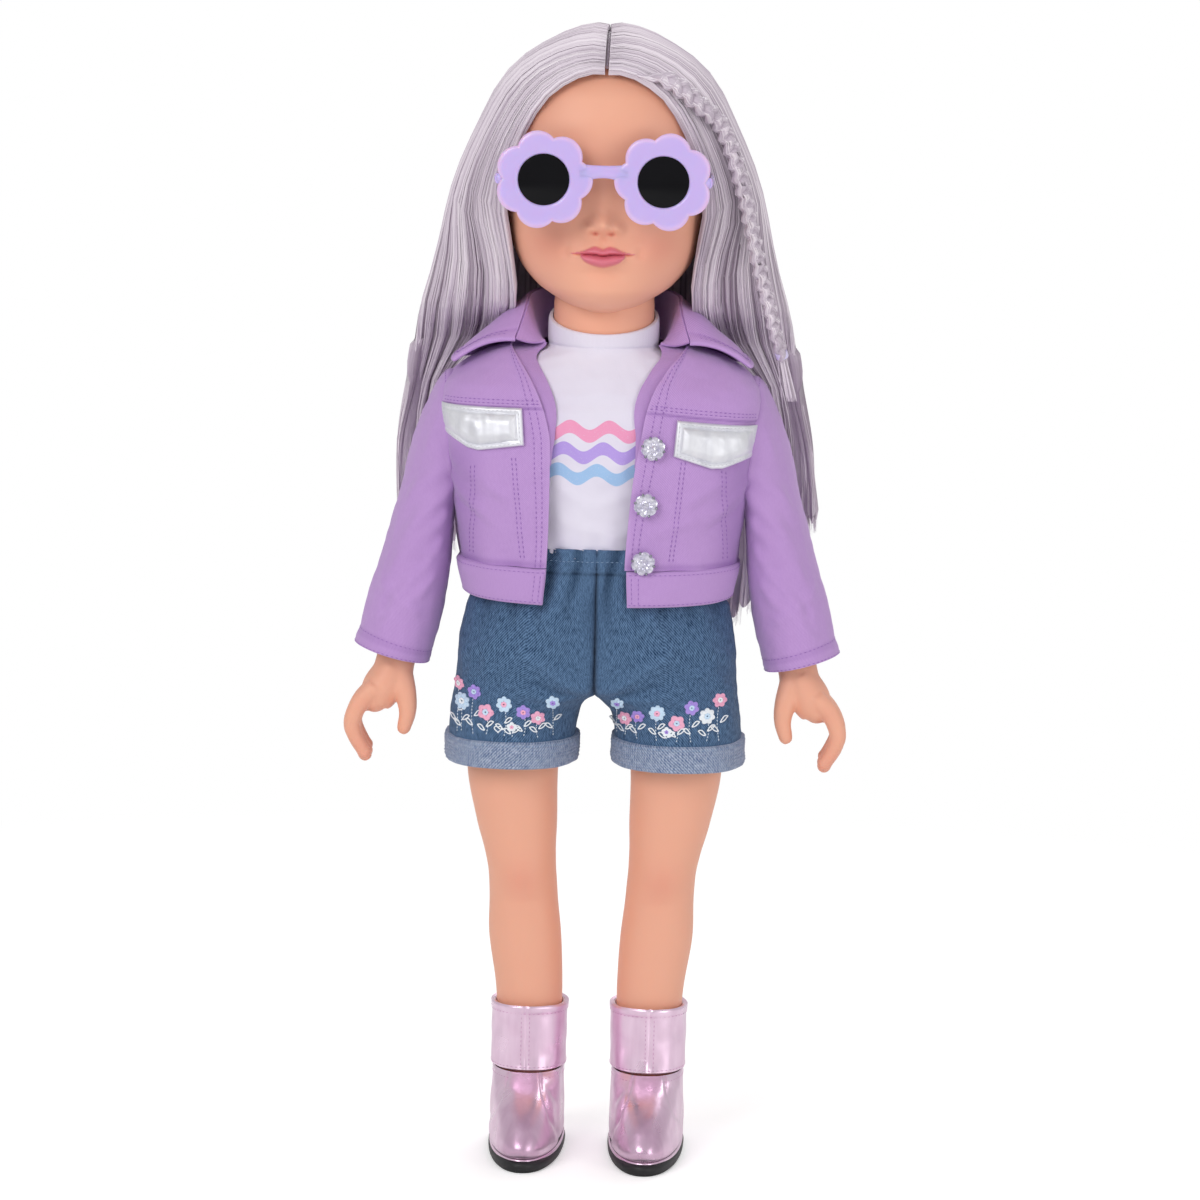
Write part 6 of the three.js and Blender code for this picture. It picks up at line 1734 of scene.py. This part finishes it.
hair = {
    "strands": 980, "columns": 140, "rows": 66, "samples": 24, "backSamples": 30, "width": 0.54,
    "depth": 0.9, "locks": 34, "pull": 0.5, "wave": 0.7, "wall": 2.6, "parting": (57, 136),
    "light": "f4ebf2", "middle": "cbbdcb", "dark": "897789", "arch": 0.2, "drift": 7}


def domePoint(way):  # the dome's point in a direction
    lift = np.degrees(np.arcsin(clip(way[..., 2], -1, 1)))
    rise, w, f, b = np.moveaxis(domeShape(lift), -1, 0)
    x, y = oval(np.arctan2(way[..., 1], way[..., 0]), w, f, b, 2.1)
    return stack([x, y, chinHeight + rise], -1)


def hairPaths(u, count):  # strands for an array of u, as an array (strand, sample, xyz)
    u = clip(u, 0, 1)
    root = np.radians(hairRoot(u)[:, 0])
    side = np.radians(hairSide(u)[:, 0])
    start = spread(0.012, -cos(root), sin(root))
    stop = spread(cos(side), sin(side), 0)
    turn = np.arccos(clip((unit(start) * stop).sum(-1), -1, 1))[:, None]
    t = linspace(0, 1, 13)[None, :]
    way = ((sin((1 - t) * turn)[..., None] * unit(start)[:, None] + sin(t * turn)[..., None] * stop[:, None])
           / sin(turn)[..., None])
    lift = (unit(np.cross(unit(start), stop))[:, None] * (hair["arch"] * step(0.4, 0, u)[:, None]
                                                          * sin(pi * t) ** 0.8)[..., None])
    keys = [domePoint(unit(way + lift))]
    keys.append(stack([loop(u) for loop in hairLoops], 1))
    tip = hairTip(u)
    for share, loop in hairHang:
        keys.append(concatenate([loop(u), 329 + (tip - 329) * share], -1)[:, None])
    keys = concatenate(keys, 1)
    keys = concatenate([2 * keys[:, :1] - keys[:, 1:2], keys, 2 * keys[:, -1:] - keys[:, -2:-1]], 1)
    run = concatenate([np.zeros((len(u), 1)),
                       np.cumsum(np.linalg.norm(np.diff(keys[:, 1:-1], axis=1), axis=-1), 1)], 1)
    want = run[:, -1:] * linspace(0, 1, count)[None, :] ** 1.25 * 0.99999
    i = (run[:, None, :] <= want[..., None]).sum(-1) - 1
    i = clip(i, 0, run.shape[1] - 2)
    lo, hi = np.take_along_axis(run, i, 1), np.take_along_axis(run, i + 1, 1)
    t = ((want - lo) / maximum(hi - lo, 1e-6))[..., None]
    return between(*[np.take_along_axis(keys, (i + k)[..., None], 1) for k in range(4)], t)


def hairFacing(u, count):  # which way the hair's surface faces along each strand
    near = hairPaths(clip(u - 0.004, 0, 0.992), count)
    far = hairPaths(clip(u + 0.004, 0.008, 1), count)
    out = unit(np.cross(np.gradient(near, axis=1), far - near))
    return out * where((out * (near - [0, 5, 380])).sum(-1, keepdims=True)[:, 10:11] < 0, -1, 1)


def lockCentre(u, locks, seed):
    edges = np.random.default_rng(seed).uniform(-0.35, 0.35, locks + 1)
    edges = (np.arange(locks + 1) + edges * (np.arange(locks + 1) > 0)) / locks
    edges[0], edges[-1] = 0, 1
    k = clip(np.searchsorted(edges, u, side="right") - 1, 0, locks - 1)
    return (edges[k] + edges[k + 1]) / 2, (u - edges[k]) / (edges[k + 1] - edges[k]), k


def hairLayer(low, high, seed):  # the solid hair underneath: a shell with a groove between its locks
    u = linspace(low, high, hair["columns"])
    rows = hair["rows"]
    grid = np.swapaxes(hairPaths(u, rows), 0, 1)
    out = np.swapaxes(hairFacing(u, rows), 0, 1)
    _, across, lock = lockCentre(u, hair["locks"], seed)
    v = linspace(0, 1, rows)[:, None]
    valley = (2 * abs(across - 0.5)) ** 3
    depth = -1.1 * valley * step(0.15, 0.6, v) - 0.2 * valley * step(0, 0.1, v)
    fine = 0.3 * sin(u * 400 + 2 * sin(v * 5 + lock)) + 0.2 * sin(u * 730 + lock)
    sink = -2.0 * step(0.06, 0, v) - 1.2 * step(0.93, 1, v)
    top = grid + out * (depth + fine * step(0, 0.05, v) + sink)[..., None]
    lift = (7 * (valley * np.random.default_rng(seed + 1).uniform(0.4, 1.4, hair["locks"])[lock])
            * step(0.8, 1, v))
    top[..., 2] += lift
    under = grid - out * (hair["wall"] * (0.35 + 0.65 * step(0, 0.15, v) * step(1.0, 0.8, v)))[..., None]
    under[..., 2] += lift
    # tone: random per lock, with painted shade in the grooves between locks, a painted highlight on the crown
    # and painted light on the tips, which hang in shadow
    tone = (0.58 + (0.16 * sin(lock * 2.4) - 0.3 * valley - 0.08) * step(0.15, 0.6, v)
            + 0.2 * step(0.8, 1, v) + 0.14 * step(0.34, 0.12, v))
    return shell(top, under, False, (300, 260), marksOf(top, tone, v))


def hairStrands(count, low, high, seed, rim=0, n=hair["samples"]):  # rim: how many lie at the face's edge
    random = np.random.default_rng(seed)
    u = random.uniform(low, high, count)
    u[:rim] = random.uniform(0, 0.012, rim)
    centre, across, lock = lockCentre(u, hair["locks"], seed)
    v = linspace(0, 1, n)[None, :, None]
    own, shared = hairPaths(u, n), hairPaths(centre, n)
    pull = hair["pull"] * step(0.35, 1.0, v)
    path = own * (1 - pull) + shared * pull
    out = hairFacing(u, n)
    side = unit(np.cross(out, np.gradient(path, axis=1)))
    height = ((0.1 + hair["depth"] * random.uniform(0, 1, count)[:, None, None] ** 1.5)
              * (1 - 0.35 * (2 * abs(across - 0.5))[:, None, None] ** 2))
    height[:rim] = random.uniform(-2.4, 0.4, rim)[:, None, None]
    phase = random.uniform(0, 6.28, count)[:, None, None]
    wave = hair["wave"] * v * sin(v * random.uniform(5, 11, count)[:, None, None] + phase)
    path = path + out * (height - 1.0 * step(0.05, 0, v)) + side * wave
    short = random.uniform(-5, 9, count)[:, None, None] * step(0.82, 1, v)
    path = path + array([0, 0, 1]) * short
    # tone: random per lock and strand, with painted shade at the lock edges, a painted highlight on the crown
    # and painted light on the tips
    lockTone = ((0.2 * sin(lock * 2.4) - 0.2 * (2 * abs(across - 0.5)) ** 3)[:, None]
                * step(0.15, 0.6, v[..., 0]))
    crown = 0.14 * step(0.34, 0.12, v[..., 0])
    tone = clip(0.6 + lockTone + crown + random.normal(0, 0.2, count)[:, None]
                + 0.2 * step(0.8, 1, v[..., 0]), 0, 1)
    return strands(path, out, hair["width"] * random.uniform(0.6, 1.25, count), 0.45, tone)


def hairFinish():
    finish, tree, shader, here, uv = newFinish("hairFibre", Roughness=0.42, Specular_IOR_Level=0.5,
                                               Sheen_Weight=0.25, Sheen_Roughness=0.35, Anisotropic=0.5)
    marks = marksIn(tree)
    stretch = node(tree, "Mapping", {"Vector": uv, "Scale": (2.4, 0.02, 1.0)})
    streak = node(tree, "TexNoise", {"Vector": stretch.outputs[0], "Scale": 1.0, "Detail": 5.0,
                                     "Roughness": 0.65})
    patch = placeGroup(tree, handlingGroup, {"Vector": here, "Broad": 26.0, "Fine": 400.0})
    # marks 0 is the tone, which holds random variation together with painted shade and painted highlight
    tone = plus(marks[0], times(minus(streak.outputs[0], 0.5), 0.7))
    tone = plus(tone, times(minus(patch["Patches"], 0.5), 0.35))
    ramp = node(tree, "ValToRGB", {0: tone})
    ramp.color_ramp.elements[0].position, ramp.color_ramp.elements[0].color = 0.05, rgb(hair["dark"])
    ramp.color_ramp.elements[1].position, ramp.color_ramp.elements[1].color = 0.95, rgb(hair["light"])
    middle = ramp.color_ramp.elements.new(0.45)
    middle.color = rgb(hair["middle"])
    joined(shader, Base_Color=ramp.outputs[0])
    bumped(shader, streak.outputs[0], 0.5, 0.0006)
    return finish


def drifted(parts):  # the hair behind the doll hangs a little towards its left
    for points, *_ in parts:
        points[:, 0] += hair["drift"] * step(310, 230, points[:, 2]) * step(22, 46, points[:, 1])
    return parts


def hang(pieces):  # bakes each piece's placement into its mesh
    for piece in pieces:
        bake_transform(piece)


def makeHair():
    finish = hairFinish()
    for side, label in bothSides:
        under = [hairLayer(0, 0.5, 80 + side)]
        over = [hairStrands(hair["strands"], 0, 0.51, 82 + side, rim=90)]
        if side < 0:
            under, over = mirrored(under), mirrored(over)
        nodes = [label + "_hair_fall"] + (["hair_crown"] if side > 0 else [])
        pieces = [makePiece(label + "_hair", drifted(under), finish, None, nodes, 70),
                  makePiece(label + "_hair_strands", drifted(over), finish, None, [], 70)]
        hang(pieces)
    under, over = [], []
    for side in (1, -1):
        layer = [hairLayer(0.5, 1, 88 + side)]
        made = [hairStrands(hair["strands"] // 2, 0.49, 1, 86 + side, n=hair["backSamples"])]
        under += layer if side > 0 else mirrored(layer)
        over += made if side > 0 else mirrored(made)
    pieces = [makePiece("back_hair", drifted(under), finish, None, ["hair_back"], 70),
              makePiece("back_hair_strands", drifted(over), finish, None, [], 70)]
    hang(pieces)
    rho = np.radians(linspace(*hair["parting"], 44))
    way = spread(0, -cos(rho), sin(rho))
    path = domePoint(way) - way * 3.0
    scalp = tube(path, 0.9, 8, up=(1, 0, 0), flat=0.8)
    scalp[3][:, 0] = 0.3
    makePiece("parting_scalp", [scalp], finish, "head", [])
    makeBraid(finish)


# The braid: three strands that pass over each other, side = sin(p + k 2pi/3), height = sin(2 (p + k 2pi/3))
braid = {"radius": 3.5, "pitch": 17.5, "route": [[14, -46, 444.5], [25.5, -44, 438.4], [36, -39.3, 430],
                                                 [45, -31.5, 421], [51.2, -28, 406], [55, -23.4, 392],
                                                 [58.4, -19.4, 377], [61.6, -16, 363], [65.2, -12, 350],
                                                 [68.4, -7, 338], [72, -1.8, 327]]}


def makeBraid(finish):
    route = curveThrough(braid["route"], 320)
    run = runOf(route)
    way = unit(np.gradient(route, axis=0))
    out = unit(route - array([0, 5, 385]))
    out = unit(out - (out * way).sum(-1, keepdims=True) * way)
    side = np.cross(way, out)
    share = run / run[-1]
    route = route + out * (0.8 - 5.2 * step(0.08, 0, share))[:, None]
    size = (braid["radius"] * (1 - 0.32 * share) * (0.12 + 0.88 * step(0, 0.1, share)))[:, None]
    paths, facing, tones, cores = [], [], [], []
    random = np.random.default_rng(7)
    for k in range(3):
        p = (2 * pi * run / braid["pitch"] + k * 2 * pi / 3)[:, None]
        core = route + side * size * 0.55 * sin(p) + out * size * (0.44 * sin(2 * p) + 0.1)
        cores.append(tube(core[::2], size[::2, 0] * 0.6, 12, up=(0, 0.2, 1)))
        for _ in range(34):
            turn = random.uniform(0, 2 * pi)
            r = 0.6 * size
            fibre = core + r * (cos(turn + 0.5 * p) * side + sin(turn + 0.5 * p) * out)
            paths.append(fibre[::4])
            facing.append(unit(fibre - core)[::4])
            tones.append(0.45 + 0.4 * cos(turn) ** 2 + random.normal(0, 0.12))
    # the cores are darker, as painted shade in the gaps between the fibres
    for c in cores:
        c[3][:, 0] = 0.42
    fibres = strands(array(paths), array(facing), 0.6, 0.5, array(tones))
    end = route[-1]
    tuft = stack([end + array([random.normal(0, 1.1), random.normal(0, 0.8), 0])
                  * linspace(0.6, 1, 14)[:, None]
                     + linspace(0, 1, 14)[:, None] * array([4, 6, -18]) for _ in range(40)])
    tail = strands(tuft, np.tile([0.5, -0.8, 0.2], (40, 14, 1)), 0.55, 0.5, random.uniform(0.3, 0.9, 40))
    makePiece("side_braid", cores + [fibres, tail], finish, "head", ["braid"], 70)
    ring = tube(route[-9:-2], size[-9:-2, 0] * 1.12, 16)
    makePiece("braid_band", [ring], lilacPlastic, "head")


makeHair()
print("stage: hair")


# What lies inside: the elastics that string the limbs, thick at a knot behind each cup, and plain CAD parts
def makeStringing():
    for name in ("shoulder", "hip"):
        low, high = (array(corner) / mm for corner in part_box(name + "_elastic"))
        middle, knot = (low + high) / 2, (high[2] - low[2]) / 2
        x = linspace(low[0] + 0.3, high[0] - 0.3, 260)
        near = (high[0] - knot - abs(x)) / knot
        radius = (2.1 + 0.1 * sin(x * 2.4) + (knot - 2.3) * sqrt(clip(1 - near ** 2, 0, 1))
                  * (1 + 0.06 * sin(x * 3.1)))
        path = spread(x, middle[1], middle[2])
        makePiece(name + "_stringing", [tube(path, radius, 20)], elasticCord, "torso", [name + "_elastic"],
                  60)
    for name in ("neck_plug", "left_arm_cup", "right_arm_cup", "left_leg_cup", "right_leg_cup", "eye_rocker"):
        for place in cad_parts[name].material_slots:
            place.material = springSteel if name == "eye_rocker" else whitePlastic


elasticCord = twillFinish("elasticCord", "f2f0ec", "c9c5be", "a8a49c", 0.9, 0.6, 0.6)
makeStringing()
print("stage: stringing and inner parts")
